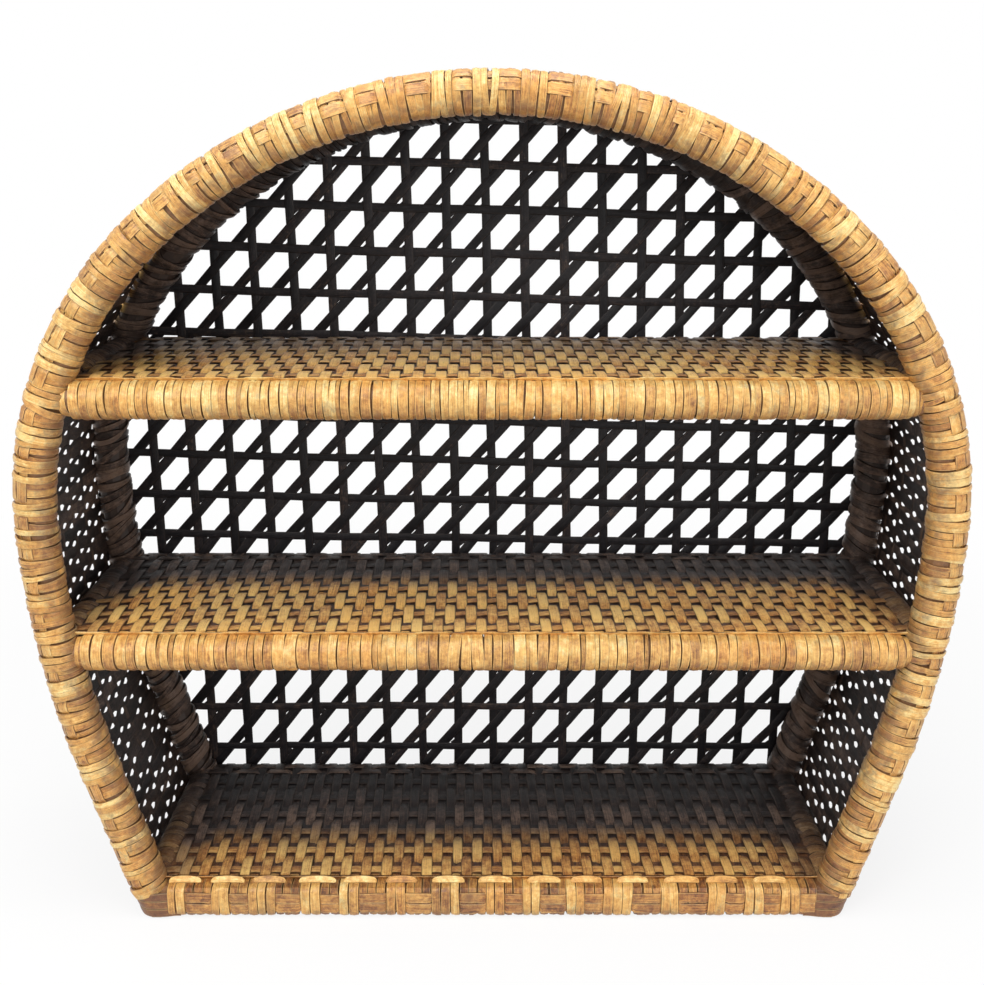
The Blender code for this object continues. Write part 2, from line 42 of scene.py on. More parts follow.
MM = 0.001

# Frame sizes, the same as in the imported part, in metres
HALF_SPACING = 0.084
CROWN_RADIUS = 0.342
SHOULDER_RADIUS = 0.274
FLANK_RADIUS = 0.685
SHOULDER_ANGLE = math.radians(47)
LEG_LEAN = math.radians(16)
WIDEST_HEIGHT = 0.3116
BAR_INSET = 0.0029
LEVELS = {"bottom": 0.0295, "middle": 0.234, "upper": 0.421}
DECK_THICKNESS = 0.0026
FRONT_RAIL_DROP = 0.0162
CROSS_BAR_DROP = 0.0100
WEFT_COUNT = 6
WEFT_PITCH = 0.0262
WEFT_SHIFT = 0.0085
WALL_ROWS = [(index - 2.5) * WEFT_PITCH for index in range(WEFT_COUNT)]
DECK_ROWS = [row - WEFT_SHIFT for row in WALL_ROWS]

# Sizes that follow from the ones above
SHOULDER_X = (CROWN_RADIUS - SHOULDER_RADIUS) * math.cos(SHOULDER_ANGLE)
CROWN_HEIGHT = WIDEST_HEIGHT - (CROWN_RADIUS - SHOULDER_RADIUS) * math.sin(SHOULDER_ANGLE)
FLANK_X = SHOULDER_X + SHOULDER_RADIUS - FLANK_RADIUS
CROWN_END = CROWN_RADIUS * (math.pi / 2 - SHOULDER_ANGLE)
SHOULDER_END = CROWN_END + SHOULDER_RADIUS * SHOULDER_ANGLE
FLANK_END = SHOULDER_END + FLANK_RADIUS * LEG_LEAN
LEG_TOP = WIDEST_HEIGHT - FLANK_RADIUS * math.sin(LEG_LEAN)
HALF_LENGTH = FLANK_END + LEG_TOP / math.cos(LEG_LEAN)

# Where strips end above the ground, and how far the wall's middle lies outside the hoop's centre line
FOOT = 1.0 * MM
WALL_MIDDLE = 11.0 * MM

# Sections of a strip: place across it and height, as shares of its width and thickness
PEEL = np.array([(-0.5, 0), (-0.44, 0.72), (0, 1), (0.44, 0.72), (0.5, 0), (0, 0)])
CANE = np.array([(-0.5, 0), (-0.38, 0.5), (0.38, 0.5), (0.5, 0), (0.38, -0.5), (-0.38, -0.5)])
CAP_CORNERS = [(0, 1, 2, 5), (2, 3, 4, 5)]
SHARP_ANGLE = math.radians(38)

# Wraps round a pole: their steps and how uneven they are
RING_STEPS = 26
WRAP_LEAN = 0.26
WRAP_BREADTH = 0.05
WRAP_SWELL = 0.1
HUMP_EDGE = 0.16
TWIST_TURN = math.radians(120)
WRAP_OVERLAP = 1.02

# Thickness of the front hoop's wraps, of the strips that run along a pole and of flat woven strips
HOOP_PEEL = 1.5 * MM
RUNNER_PEEL = 1.0 * MM
FLAT_PEEL = 0.9 * MM


def smooth(low, high, value):
    """0 below low, 1 above high, with an eased step between."""
    share = np.clip((value - low) / (high - low), 0, 1)
    return share * share * (3 - 2 * share)


def points_at(x, y, z):
    """Points from coordinates that may be the same all along or all across a strip."""
    return np.stack(np.broadcast_arrays(x, y, z), axis=-1)


def hoop_line(along):
    """The hoop's centre line and outward normal at signed distances from the crown, positive to the right."""
    reach = np.abs(along)
    parts = [reach < CROWN_END, reach < SHOULDER_END, reach < FLANK_END]
    crown = math.pi / 2 - reach / CROWN_RADIUS
    shoulder = SHOULDER_ANGLE - (reach - CROWN_END) / SHOULDER_RADIUS
    flank = -(reach - SHOULDER_END) / FLANK_RADIUS
    angle = np.select(parts, [crown, shoulder, flank], -LEG_LEAN)
    radius = np.select(parts, [CROWN_RADIUS, SHOULDER_RADIUS, FLANK_RADIUS], FLANK_RADIUS)
    centre_x = np.select(parts, [0, SHOULDER_X, FLANK_X], FLANK_X)
    centre_z = np.select(parts, [CROWN_HEIGHT, WIDEST_HEIGHT, WIDEST_HEIGHT], WIDEST_HEIGHT)
    run = np.maximum(reach - FLANK_END, 0)
    side = np.where(along < 0, -1, 1)
    x = centre_x + radius * np.cos(angle) - run * math.sin(LEG_LEAN)
    z = centre_z + radius * np.sin(angle) - run * math.cos(LEG_LEAN)
    return side * x, z, side * np.cos(angle), np.sin(angle)


HOOP_TABLE = np.linspace(0, HALF_LENGTH, 1600)
HOOP_HEIGHTS = hoop_line(HOOP_TABLE)[1]


def hoop_reach(height):
    """Distance along the hoop from the crown to a height."""
    return float(np.interp(-height, -HOOP_HEIGHTS, HOOP_TABLE))


def hoop_x(height):
    """Half width of the hoop's centre line at a height."""
    return float(hoop_line(np.array(hoop_reach(height)))[0])


def above_foot(x, y, z):
    """Points on a leg or the wall, those below the foot moved up along the leg to it."""
    sunk = np.maximum(FOOT - z, 0)
    return points_at(x + np.sign(x) * sunk * math.tan(LEG_LEAN), y, z + sunk)


def hoop_place(depth):
    """A place function round a hoop: distance along, turn from outward to front, radius."""
    def place(along, turn, radius):
        x, z, normal_x, normal_z = hoop_line(along)
        out = radius * np.cos(turn)
        return above_foot(x + out * normal_x, depth - radius * np.sin(turn), z + out * normal_z)
    return place


def rail_place(depth, height, power):
    """A place function round a rail along X: turn from upwards to front. A higher power is squarer."""
    def place(along, turn, radius):
        reach = radius * (np.abs(np.cos(turn)) ** power + np.abs(np.sin(turn)) ** power) ** (-1 / power)
        return points_at(along, depth - reach * np.sin(turn), height + reach * np.cos(turn))
    return place


def bar_place(centre_x, height):
    """A place function round a bar along Y: turn from upwards to the right."""
    def place(along, turn, radius):
        return points_at(centre_x + radius * np.sin(turn), along, height + radius * np.cos(turn))
    return place


def wall_place(along, depth, lift):
    """A place in the side wall: distance along the hoop, depth and height above the wall's middle."""
    x, z, normal_x, normal_z = hoop_line(along)
    offset = WALL_MIDDLE + lift
    return above_foot(x + offset * normal_x, depth, z + offset * normal_z)


def add_object(name, data):
    """A new object in the scene."""
    made = bpy.data.objects.new(name, data)
    bpy.context.scene.collection.objects.link(made)
    return made


class Strips:
    """Gathers the strips of one piece and turns them into one mesh."""

    def __init__(self, name, slot, seed, section=PEEL):
        self.name = name
        self.slot = slot
        self.random = np.random.default_rng(seed)
        self.section = section
        self.across = section[:, 0][None, :]
        self.up = section[:, 1][None, :]
        self.points, self.quads, self.uvs, self.tints = [], [], [], []
        self.count = 0

    def add(self, points, lengths, tone, age_and_shading=0.0, stain_and_shade=0.3, closed=False):
        """One strip through rows of points. Lengths are metres along it, one more than the rows if closed."""
        rows, columns = points.shape[:2]
        index = self.count + np.arange(rows * columns).reshape(rows, columns)
        near = index if closed else index[:-1]
        far = np.roll(index, -1, axis=0) if closed else index[1:]
        turned = [np.roll(side, -1, axis=1) for side in (near, far)]
        quads = np.stack([near, far, turned[1], turned[0]], axis=-1).reshape(-1, 4)
        share = self.section[:, 0] + 0.5
        begin, end = lengths[:-1, None] + 0 * share, lengths[1:, None] + 0 * share
        v_near, v_next = 0 * begin + share, 0 * begin + np.roll(share, -1)
        uvs = np.stack([begin, v_near, end, v_near, end, v_next, begin, v_next], axis=-1).reshape(-1, 4, 2)
        if not closed:
            for ring, length, step in ((index[0], lengths[0], 1), (index[-1], lengths[-1], -1)):
                for corners in CAP_CORNERS:
                    order = list(corners[::step])
                    quads = np.concatenate([quads, ring[order][None]])
                    uvs = np.concatenate([uvs, [[(length, share[corner]) for corner in order]]])
        flat = points.reshape(-1, 3)
        shift = flat[quads - self.count] - flat.mean(axis=0)
        volume = np.sum(shift[:, 0] * np.cross(shift[:, 1] - shift[:, 3], shift[:, 2]))
        if volume < 0:
            quads = quads[:, ::-1]
            uvs = uvs[:, ::-1]
        parts = (tone, age_and_shading, self.random.uniform(), stain_and_shade)
        tint = np.stack([np.broadcast_to(part, (rows, columns)) for part in parts], axis=-1)
        self.points.append(flat)
        self.quads.append(quads)
        self.uvs.append(uvs)
        self.tints.append(tint.reshape(-1, 4))
        self.count += rows * columns

    def varied(self, along, reach, count, tones):
        """Tones that change along a strip from -reach to reach, drawn at even distances."""
        return np.interp(along, np.linspace(-reach, reach, count), self.random.uniform(*tones, count))

    def build(self, *replaced):
        """Make the mesh object, put it on the body and let it stand for the nodes named."""
        points = np.concatenate(self.points)
        quads = np.concatenate(self.quads)
        mesh = bpy.data.meshes.new(self.name)
        mesh.vertices.add(len(points))
        mesh.vertices.foreach_set("co", points.astype(np.float32).ravel())
        mesh.loops.add(quads.size)
        mesh.loops.foreach_set("vertex_index", quads.astype(np.int32).ravel())
        mesh.polygons.add(len(quads))
        mesh.polygons.foreach_set("loop_start", np.arange(0, quads.size, 4, dtype=np.int32))
        mesh.update(calc_edges=True)
        layer = mesh.uv_layers.new(name="strip")
        layer.uv.foreach_set("vector", np.concatenate(self.uvs).astype(np.float32).ravel())
        tints = mesh.color_attributes.new("tint", "FLOAT_COLOR", "POINT")
        tints.data.foreach_set("color", np.concatenate(self.tints).astype(np.float32).ravel())
        mesh.materials.append(MATERIALS[self.slot])
        mesh.shade_smooth()
        mesh.set_sharp_from_angle(angle=SHARP_ANGLE)
        piece = add_object(self.name, mesh)
        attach(piece, "root")
        if replaced:
            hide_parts(*replaced)


def wrap(strips, place, middle, width, base, thickness, tone, slant, age_and_shading=None, stain_and_shade=None, humps=(), tip=0,
         twist=0, fade=0):
    """One peel wrap round a pole, over the strips that run under it, tipped, twisted, and paler at turn 0 by
    painted light.
    """
    random = strips.random
    turn = np.linspace(0, TAU, RING_STEPS, endpoint=False)[:, None]
    lean = random.normal(tip, WRAP_LEAN) * thickness
    tilt = random.normal(0, slant)
    phase = random.uniform(0, TAU, 3)
    breadth = width * (1 + WRAP_BREADTH * np.sin(2 * turn + phase[0]))
    along = middle + tilt * np.sin(turn + phase[1]) + twist * np.sin(turn - TWIST_TURN)
    lift = WRAP_SWELL * thickness * np.sin(3 * turn + phase[2])
    for centre, half, height in humps:
        away = np.abs((turn - centre + math.pi) % TAU - math.pi)
        lift = lift + height * (1 - smooth(half, half + HUMP_EDGE, away))
    radius = base + lift + strips.up * thickness + lean * strips.across
    points = place(along + strips.across * breadth, turn, radius)
    ages_and_shading = 0 if age_and_shading is None else age_and_shading(points)
    stains_and_shade = 0.3 if stain_and_shade is None else stain_and_shade(turn)
    lengths = np.linspace(0, TAU * base, RING_STEPS + 1) + random.uniform()
    # Painted light: fade makes the wrap paler towards turn 0 and darker on the far side.
    strips.add(points, lengths, tone + fade * np.cos(turn), ages_and_shading, stains_and_shade, closed=True)


def lay(random, reach, widths, thin_share=0.0):
    """Middles and widths of wraps laid side by side from -reach to reach."""
    found = []
    place = -reach
    while place < reach - widths[0] / 2:
        width = random.uniform(*widths)
        if random.uniform() < thin_share:
            width = random.uniform(2.6, 4.2) * MM
        width = min(width, reach - place)
        found.append((place + width / 2, width))
        place += width
    return found


def ladder(random, reach, widths, raised_counts, low_counts):
    """Groups of raised wraps with groups of low ones between, as middle, width and raised."""
    found = []
    place = -reach
    raised = True
    while place < reach - widths[0] / 2:
        count = int(random.choice(raised_counts if raised else low_counts))
        for _ in range(count):
            width = min(random.uniform(*widths), reach - place)
            if width < widths[0] / 2:
                break
            found.append((place + width / 2, width, raised))
            place += width
        raised = not raised
    return found


def raised_share(wraps, along):
    """1 where a running strip is on top, 0 where raised wraps cover it."""
    share = np.ones_like(along)
    for middle, width, raised in wraps:
        if raised:
            near, clear = width / 2 - 0.4 * MM, width / 2 + 1.8 * MM
            share = np.minimum(share, smooth(near, clear, np.abs(along - middle)))
    return share


def runner(strips, place, wraps, reach, turn, width, over, under, tones, age_and_shading=None):
    """A strip that runs along a pole, over the low wraps and under the raised ones."""
    random = strips.random
    along = np.arange(-reach, reach, 1.6 * MM)[:, None]
    phase = random.uniform(0, TAU, 2)
    wander = 0.035 * np.sin(along / 0.031 + phase[0]) + 0.02 * np.sin(along / 0.013 + phase[1])
    base = under + (over - under) * raised_share(wraps, along)
    turns = turn + wander + strips.across * width / over
    lean = random.normal(0, 0.05) * RUNNER_PEEL
    points = place(along, turns, base + strips.up * RUNNER_PEEL + lean * strips.across)
    knots = np.arange(-reach - 0.02, reach + 0.02, 0.017)
    tone = np.interp(along, knots, random.uniform(*tones, len(knots)))
    ages_and_shading = 0 if age_and_shading is None else age_and_shading(points)
    strips.add(points, along[:, 0], tone, ages_and_shading, 0.35)


def set_inputs(tree, node, inputs):
    """Link inputs that come from a node, and set the others on their own sockets."""
    for name, value in inputs.items():
        if isinstance(value, bpy.types.NodeSocket):
            tree.links.new(value, node.inputs[name])
        else:
            node.inputs[name].default_value = value


def add_node(tree, kind, inputs=None, **settings):
    """A node with its settings and inputs."""
    made = tree.nodes.new(kind)
    for name, value in settings.items():
        setattr(made, name, value)
    set_inputs(tree, made, inputs or {})
    return made


def maths(tree, operation, first, second=0.0, third=0.0):
    """The result of a math node."""
    made = add_node(tree, "ShaderNodeMath", {0: first, 1: second, 2: third}, operation=operation)
    return made.outputs[0]


def mix_colours(tree, share, first, second, blend="MIX"):
    """Two colours mixed by a share."""
    settings = {"data_type": "RGBA", "blend_type": blend}
    made = add_node(tree, "ShaderNodeMix", {0: share, 6: first, 7: second}, **settings)
    return made.outputs[2]


def step_between(tree, value, low, high):
    """An eased step from 0 at low to 1 at high."""
    inputs = {"Value": value, "From Min": low, "From Max": high}
    return add_node(tree, "ShaderNodeMapRange", inputs, interpolation_type="SMOOTHSTEP").outputs[0]


def veil(tree, value, low, high, share):
    """An eased step from 0 at low to a share at high."""
    return maths(tree, "MULTIPLY", step_between(tree, value, low, high), share)


def ramp(tree, value, stops):
    """A colour ramp through stops of place and colour."""
    made = add_node(tree, "ShaderNodeValToRGB", {0: value})
    elements = made.color_ramp.elements
    while len(elements) < len(stops):
        elements.new(0.5)
    for element, (place, colour) in zip(elements, stops):
        element.position = place
        element.color = colour
    return made.outputs[0]


def srgb(red, green, blue):
    """A colour written as the eye sees it, from 0 to 255, turned into linear light."""
    linear = []
    for channel in (red, green, blue):
        share = channel / 255
        linear.append(share / 12.92 if share <= 0.04045 else ((share + 0.055) / 1.055) ** 2.4)
    return (*linear, 1.0)


def noise(tree, vector, scale, detail, roughness=0.55, distortion=0.0):
    """Noise from 0 to 1."""
    inputs = {"Vector": vector, "Scale": scale, "Detail": detail, "Roughness": roughness,
              "Distortion": distortion}
    return add_node(tree, "ShaderNodeTexNoise", inputs).outputs[0]


def surface(name):
    """A new material with its node tree and its shader."""
    material = bpy.data.materials.new(name)
    material.use_nodes = True
    tree = material.node_tree
    return material, tree, tree.nodes["Principled BSDF"]


def bump(tree, height, strength, distance):
    """Fine relief."""
    inputs = {"Height": height, "Strength": strength, "Distance": distance}
    return add_node(tree, "ShaderNodeBump", inputs).outputs[0]


# Noises over the object: scale, detail, roughness and distortion
PEEL_NOISES = {
    "blotch": (85.0, 5.0, 0.65, 0.6),
    "broad": (17.0, 3.0, 0.5),
    "speck": (420.0, 2.0, 0.5),
    "mottle": (190.0, 4.0, 0.75, 0.4),
}
# Fibre noises along and across a strip, and how far apart their seeds lie
FIBRE_SCALES = ((70.0, 9.0), (26.0, 38.0))
FIBRE_SHIFT = 61.0
SCRATCH_STEP = (0.36, 0.47)
# Lightness: share and start of the fibres, shares of the other noises, and what centres the sum
FIBRE_LEVEL = (0.80, -0.40)
LEVEL_SHARES = {"scratch": 0.34, "blotch": 0.80, "broad": 0.30, "speck": 0.30, "mottle": 1.10}
LEVEL_DROP = 1.55
# Steps and strengths of warm patches, stains, pale cut edges, and painted shade in the seams
WARM = (0.42, 0.62, 0.55)
STAIN_PARTS = (0.34, 0.30, 0.20)
STAIN_WIDTH, STAIN_SHARE = 0.40, 0.80
CUT = (0.34, 0.41, 0.18)
SEAM_SHADE = (0.415, 0.485, 0.85)
# Coat above which a peel is glossy with pale cut edges, and the gloss of such peel and of the rest
GLOSSY_COAT = 0.15
SPECULAR_GLOSSY, SPECULAR_DULL = 0.4, 0.26


def peel_fibres(tree, strip, seed):
    """Two noises drawn out along a strip: soft fibres and finer ones."""
    shift = maths(tree, "MULTIPLY", seed, FIBRE_SHIFT)
    fibres = []
    for along, across in FIBRE_SCALES:
        u = maths(tree, "MULTIPLY", strip.outputs[0], along)
        v = maths(tree, "MULTIPLY", strip.outputs[1], across)
        vector = add_node(tree, "ShaderNodeCombineXYZ", {0: u, 1: v, 2: shift}).outputs[0]
        fibres.append(noise(tree, vector, 1.0, 3.0, 0.6))
    return fibres


def peel_edges(tree, strip, colour, cut_colour, seam_shade_colour):
    """The colour of a strip with paler cut edges and painted shade in the seams beside them."""
    edge = maths(tree, "ABSOLUTE", maths(tree, "SUBTRACT", strip.outputs[1], 0.5))
    colour = mix_colours(tree, veil(tree, edge, *CUT), colour, cut_colour)
    return mix_colours(tree, veil(tree, edge, *SEAM_SHADE), colour, seam_shade_colour, "MULTIPLY")


def peel_material(name, young, old, stain_and_shade, stain_start, roughness, coat, relief):
    """Rattan peel: fibres along the strip, blotches, stains, cut edges and seams, with age, stains and seams
    also carrying painted shade.
    """
    material, tree, shader = surface(name)
    tint = add_node(tree, "ShaderNodeAttribute", attribute_name="tint")
    tone, age_and_shading, seed = add_node(tree, "ShaderNodeSeparateColor", {"Color": tint.outputs["Color"]}).outputs
    uv = add_node(tree, "ShaderNodeUVMap", uv_map="strip")
    strip = add_node(tree, "ShaderNodeSeparateXYZ", {0: uv.outputs[0]})
    fibres = peel_fibres(tree, strip, seed)
    place = add_node(tree, "ShaderNodeTexCoord").outputs["Object"]
    parts = {part: noise(tree, place, *settings) for part, settings in PEEL_NOISES.items()}
    parts["scratch"] = step_between(tree, fibres[1], *SCRATCH_STEP)
    level = maths(tree, "MULTIPLY_ADD", fibres[0], *FIBRE_LEVEL)
    for part, share in LEVEL_SHARES.items():
        level = maths(tree, "MULTIPLY_ADD", parts[part], share, level)
    level = maths(tree, "SUBTRACT", maths(tree, "ADD", level, tone), LEVEL_DROP)
    warm = veil(tree, parts["broad"], *WARM)
    fresh = mix_colours(tree, warm, ramp(tree, level, young), WARMTH, "MULTIPLY")
    age_and_shading_level = maths(tree, "SUBTRACT", maths(tree, "MULTIPLY_ADD", parts["blotch"], 0.5, age_and_shading), 0.25)
    colour = mix_colours(tree, step_between(tree, age_and_shading_level, 0.0, 1.0), fresh, ramp(tree, level, old))
    spread = parts["blotch"]
    for part, share in zip((tint.outputs["Alpha"], fibres[0], parts["speck"]), STAIN_PARTS):
        spread = maths(tree, "MULTIPLY_ADD", part, share, spread)
    stained_and_shaded = veil(tree, spread, stain_start, stain_start + STAIN_WIDTH, STAIN_SHARE)
    colour = mix_colours(tree, stained_and_shaded, colour, stain_and_shade)
    glossy = coat > GLOSSY_COAT
    colour = peel_edges(tree, strip, colour, young[-1][1] if glossy else old[-1][1], stain_and_shade)
    rough = maths(tree, "MULTIPLY_ADD", fibres[1], 0.30, roughness - 0.15)
    rough = maths(tree, "MULTIPLY_ADD", stained_and_shaded, 0.18, rough)
    height = maths(tree, "MULTIPLY_ADD", fibres[1], 0.7, fibres[0])
    height = maths(tree, "MULTIPLY_ADD", parts["blotch"], 0.8, height)
    set_inputs(tree, shader, {
        "Base Color": colour, "Roughness": rough, "Normal": bump(tree, height, relief, 0.0006),
        "Coat Weight": coat, "Coat Roughness": 0.28,
        "Specular IOR Level": SPECULAR_GLOSSY if glossy else SPECULAR_DULL,
    })
    return material


def pole_material(name, light, dark, roughness, metallic=0.0):
    """A pole, or a nail, with fine streaks and blotches."""
    material, tree, shader = surface(name)
    place = add_node(tree, "ShaderNodeTexCoord").outputs["Object"]
    blotch = noise(tree, place, 90.0, 5.0, 0.65, 0.5)
    streak = noise(tree, place, 900.0, 2.0)
    level = maths(tree, "MULTIPLY_ADD", streak, 0.35, maths(tree, "MULTIPLY", blotch, 0.75))
    rough = maths(tree, "MULTIPLY_ADD", streak, 0.3, roughness - 0.15)
    set_inputs(tree, shader, {
        "Base Color": ramp(tree, level, [(0.3, dark), (0.8, light)]), "Roughness": rough,
        "Normal": bump(tree, level, 0.4, 0.0004), "Metallic": metallic,
    })
    return material


YOUNG = [(0.0, srgb(84, 50, 32)), (0.26, srgb(156, 104, 58)), (0.55, srgb(214, 160, 86)),
         (0.8, srgb(238, 192, 112)), (1.0, srgb(252, 228, 160))]
DECK_YOUNG = [(0.0, srgb(70, 40, 30)), (0.26, srgb(136, 88, 54)), (0.58, srgb(200, 146, 84)),
              (1.0, srgb(246, 204, 124))]
OLD = [(0.0, srgb(20, 16, 17)), (0.4, srgb(42, 34, 32)), (0.7, srgb(72, 58, 52)), (1.0, srgb(120, 98, 84))]
NIGHT = [(0.0, srgb(14, 12, 15)), (0.5, srgb(30, 27, 30)), (0.8, srgb(46, 39, 40)), (1.0, srgb(84, 68, 58))]
STAIN_AND_SHADE = srgb(112, 72, 50)
SOOT_AND_SHADE = srgb(28, 18, 17)
WARMTH = srgb(255, 233, 205)

# Young and old colours, stain colour, where stains start, roughness, coat and relief; the old and stain
# colours also serve for painted shade
PEEL_LOOKS = {
    "golden_peel": (YOUNG, OLD, STAIN_AND_SHADE, 0.80, 0.42, 0.35, 1.0),
    "brown_peel": (DECK_YOUNG, OLD, SOOT_AND_SHADE, 0.95, 0.46, 0.10, 0.90),
    "deck_weave": (DECK_YOUNG, OLD, SOOT_AND_SHADE, 0.92, 0.46, 0.09, 0.85),
    "wall_weave": (DECK_YOUNG, OLD, SOOT_AND_SHADE, 0.95, 0.50, 0.08, 0.60),
    "dark_cane": (OLD, NIGHT, SOOT_AND_SHADE, 1.00, 0.50, 0.06, 0.55),
    "pale_trim": (YOUNG, OLD, STAIN_AND_SHADE, 1.00, 0.42, 0.30, 0.60),
}
MATERIALS = {slot: peel_material(slot + "_strips", *look) for slot, look in PEEL_LOOKS.items()}
POLE = pole_material("pole_rattan", srgb(156, 112, 70), srgb(86, 54, 36), 0.55)
POLE_DARK = pole_material("pole_rattan_dark", srgb(74, 56, 46), srgb(32, 24, 22), 0.60)
STEEL = pole_material("nail_steel", srgb(178, 178, 180), srgb(120, 118, 116), 0.45, 1.0)


def inward_stain_and_shade(turn):
    """Stains and painted shade darken the side of the hoop that faces its middle."""
    return 0.12 + 0.76 * smooth(-0.3, 0.9, -np.cos(turn))


HOOP_BASE = 12.8 * MM
JOINT_TURN = math.radians(128)
JOINT_REACH = 13.5 * MM
JOINT_RISE = 1.1 * MM
JOINT_HALVES = (0.62, 0.36)


def joint_humps(middle):
    """The front hoop's wraps rise over a rail's end where one meets the hoop."""
    humps = []
    for level in ("middle", "upper"):
        away = abs(abs(middle) - hoop_reach(LEVELS[level] - FRONT_RAIL_DROP))
        if away < JOINT_REACH:
            share = float(1 - smooth(JOINT_REACH / 2, JOINT_REACH, away))
            humps = [(JOINT_TURN, half, JOINT_RISE * share) for half in JOINT_HALVES]
    return humps


def back_age_and_highlight(points):
    """The back hoop's peel is dark, with a painted highlight at its outer edge on the shoulders, where strips
    end.
    """
    reach = np.hypot(np.abs(points[..., 0]) - SHOULDER_X, points[..., 2] - WIDEST_HEIGHT) - SHOULDER_RADIUS
    outer = smooth(4.5 * MM, 10.5 * MM, reach) * smooth(-2 * MM, -7 * MM, points[..., 1] - HALF_SPACING)
    shoulder = smooth(0.428, 0.445, points[..., 2]) * (1 - smooth(0.50, 0.55, points[..., 2]))
    return 0.97 - 0.66 * outer * shoulder


HOOPS = {
    "front": dict(side=1, slot="golden_peel", seed=11, age_and_shading=None, end=HALF_LENGTH - 19 * MM,
                  widths=(3.7 * MM, 6.4 * MM), thickness=HOOP_PEEL, slant=1.1 * MM, tip=0),
    "back": dict(side=-1, slot="brown_peel", seed=12, age_and_shading=back_age_and_highlight, end=HALF_LENGTH,
                 widths=(4.6 * MM, 8.0 * MM), thickness=1.8 * MM, slant=3.0 * MM, tip=0.8),
}
RUNNER_TURNS = (math.radians(38), math.radians(73))
RUNNER_WIDTH = 8.0 * MM
RUNNER_TONES = (0.35, 0.75)


def build_hoops():
    """The wraps of both hoops, with the strips that run along under the raised ones."""
    for name, look in HOOPS.items():
        golden = name == "front"
        place = hoop_place(-look["side"] * HALF_SPACING)
        turns = [look["side"] * turn for turn in RUNNER_TURNS]
        strips = Strips(name + "_hoop_wraps", look["slot"], look["seed"])
        random = strips.random
        wraps = ladder(random, look["end"], look["widths"], (2, 3, 3), (2, 2, 3))
        for middle, breadth, raised in wraps:
            base = HOOP_BASE + (0.25 * MM if raised else 0) + random.normal(0, 0.22) * MM
            humps = [(turn, 0.26, RUNNER_PEEL * 0.95) for turn in turns] if raised else []
            tone = random.uniform(0.48, 0.94) if raised else random.uniform(0.34, 0.74)
            if golden:
                humps += joint_humps(middle)
                tone -= 0.16 * smooth(HALF_LENGTH - 75 * MM, HALF_LENGTH - 25 * MM, abs(middle))
                twist = 0
            else:
                tone += 0.56 * smooth(0.14, 0.27, abs(middle)) - 0.34
                twist = math.copysign(random.normal(5.0, 1.6) * MM, -middle)
            wrap(strips, place, middle, breadth * WRAP_OVERLAP, base, look["thickness"], tone, look["slant"],
                 look["age_and_shading"], inward_stain_and_shade if golden else None, humps, look["tip"], twist)
        strips.build(name + "_hoop_binding")
        strips = Strips(name + "_hoop_runners", look["slot"], look["seed"] + 20)
        for turn in turns:
            runner(strips, place, wraps, look["end"], turn, RUNNER_WIDTH, HOOP_BASE + HOOP_PEEL * 0.92,
                   HOOP_BASE - 0.2 * MM, RUNNER_TONES, look["age_and_shading"])
        strips.build()


RAIL_END_INSET = 12.5 * MM
RAIL_BASE = 12.3 * MM
RAIL_END_DROP = 2.4 * MM
RAIL_PEEL = 1.45 * MM
RAIL_WIDTHS = {"middle": (5.4 * MM, 9.2 * MM), "upper": (4.4 * MM, 7.4 * MM)}
RAIL_DIM = {"middle": 0.08, "upper": 0}


def rail_stain_and_shade(strength):
    """Stains of one wrap, with painted shade that darkens its lower half."""
    return lambda turn: strength * 0.45 + 0.62 * smooth(-0.1, 0.9, -np.cos(turn))


def build_front_rails():
    """Close wraps round the middle and upper rails."""
    for seed, level in ((32, "middle"), (33, "upper")):
        height = LEVELS[level] - FRONT_RAIL_DROP
        reach = hoop_x(height) - RAIL_END_INSET
        place = rail_place(-HALF_SPACING, height, 2)
        strips = Strips(level + "_front_rail_wraps", "golden_peel", seed)
        random = strips.random
        for middle, width in lay(random, reach, RAIL_WIDTHS[level], 0.22):
            tone = random.uniform(0.47, 0.83) - RAIL_DIM[level]
            near_end = smooth(reach - 12 * MM, reach, abs(middle))
            base = RAIL_BASE - RAIL_END_DROP * near_end + random.normal(0, 0.14) * MM
            # Painted light makes the top of each wrap paler, and painted shade darkens its lower half.
            stain_and_shade = rail_stain_and_shade(random.uniform(0.05, 0.75))
            slant = 0.45 * MM + 1.6 * MM * near_end
            wrap(strips, place, middle, width * WRAP_OVERLAP, base, RAIL_PEEL, tone, slant, None, stain_and_shade,
                 fade=0.11)
        strips.build(level + "_front_rail_binding")


SQUARE_BASE = 11.5 * MM
SQUARE_PEEL = 1.4 * MM
SQUARE_POWER = 6
SQUARE_WIDTHS = (6.0 * MM, 8.0 * MM)
SQUARE_TURNS = (math.radians(73), math.radians(107))
SQUARE_RUNNER_WIDTH = 7.8 * MM


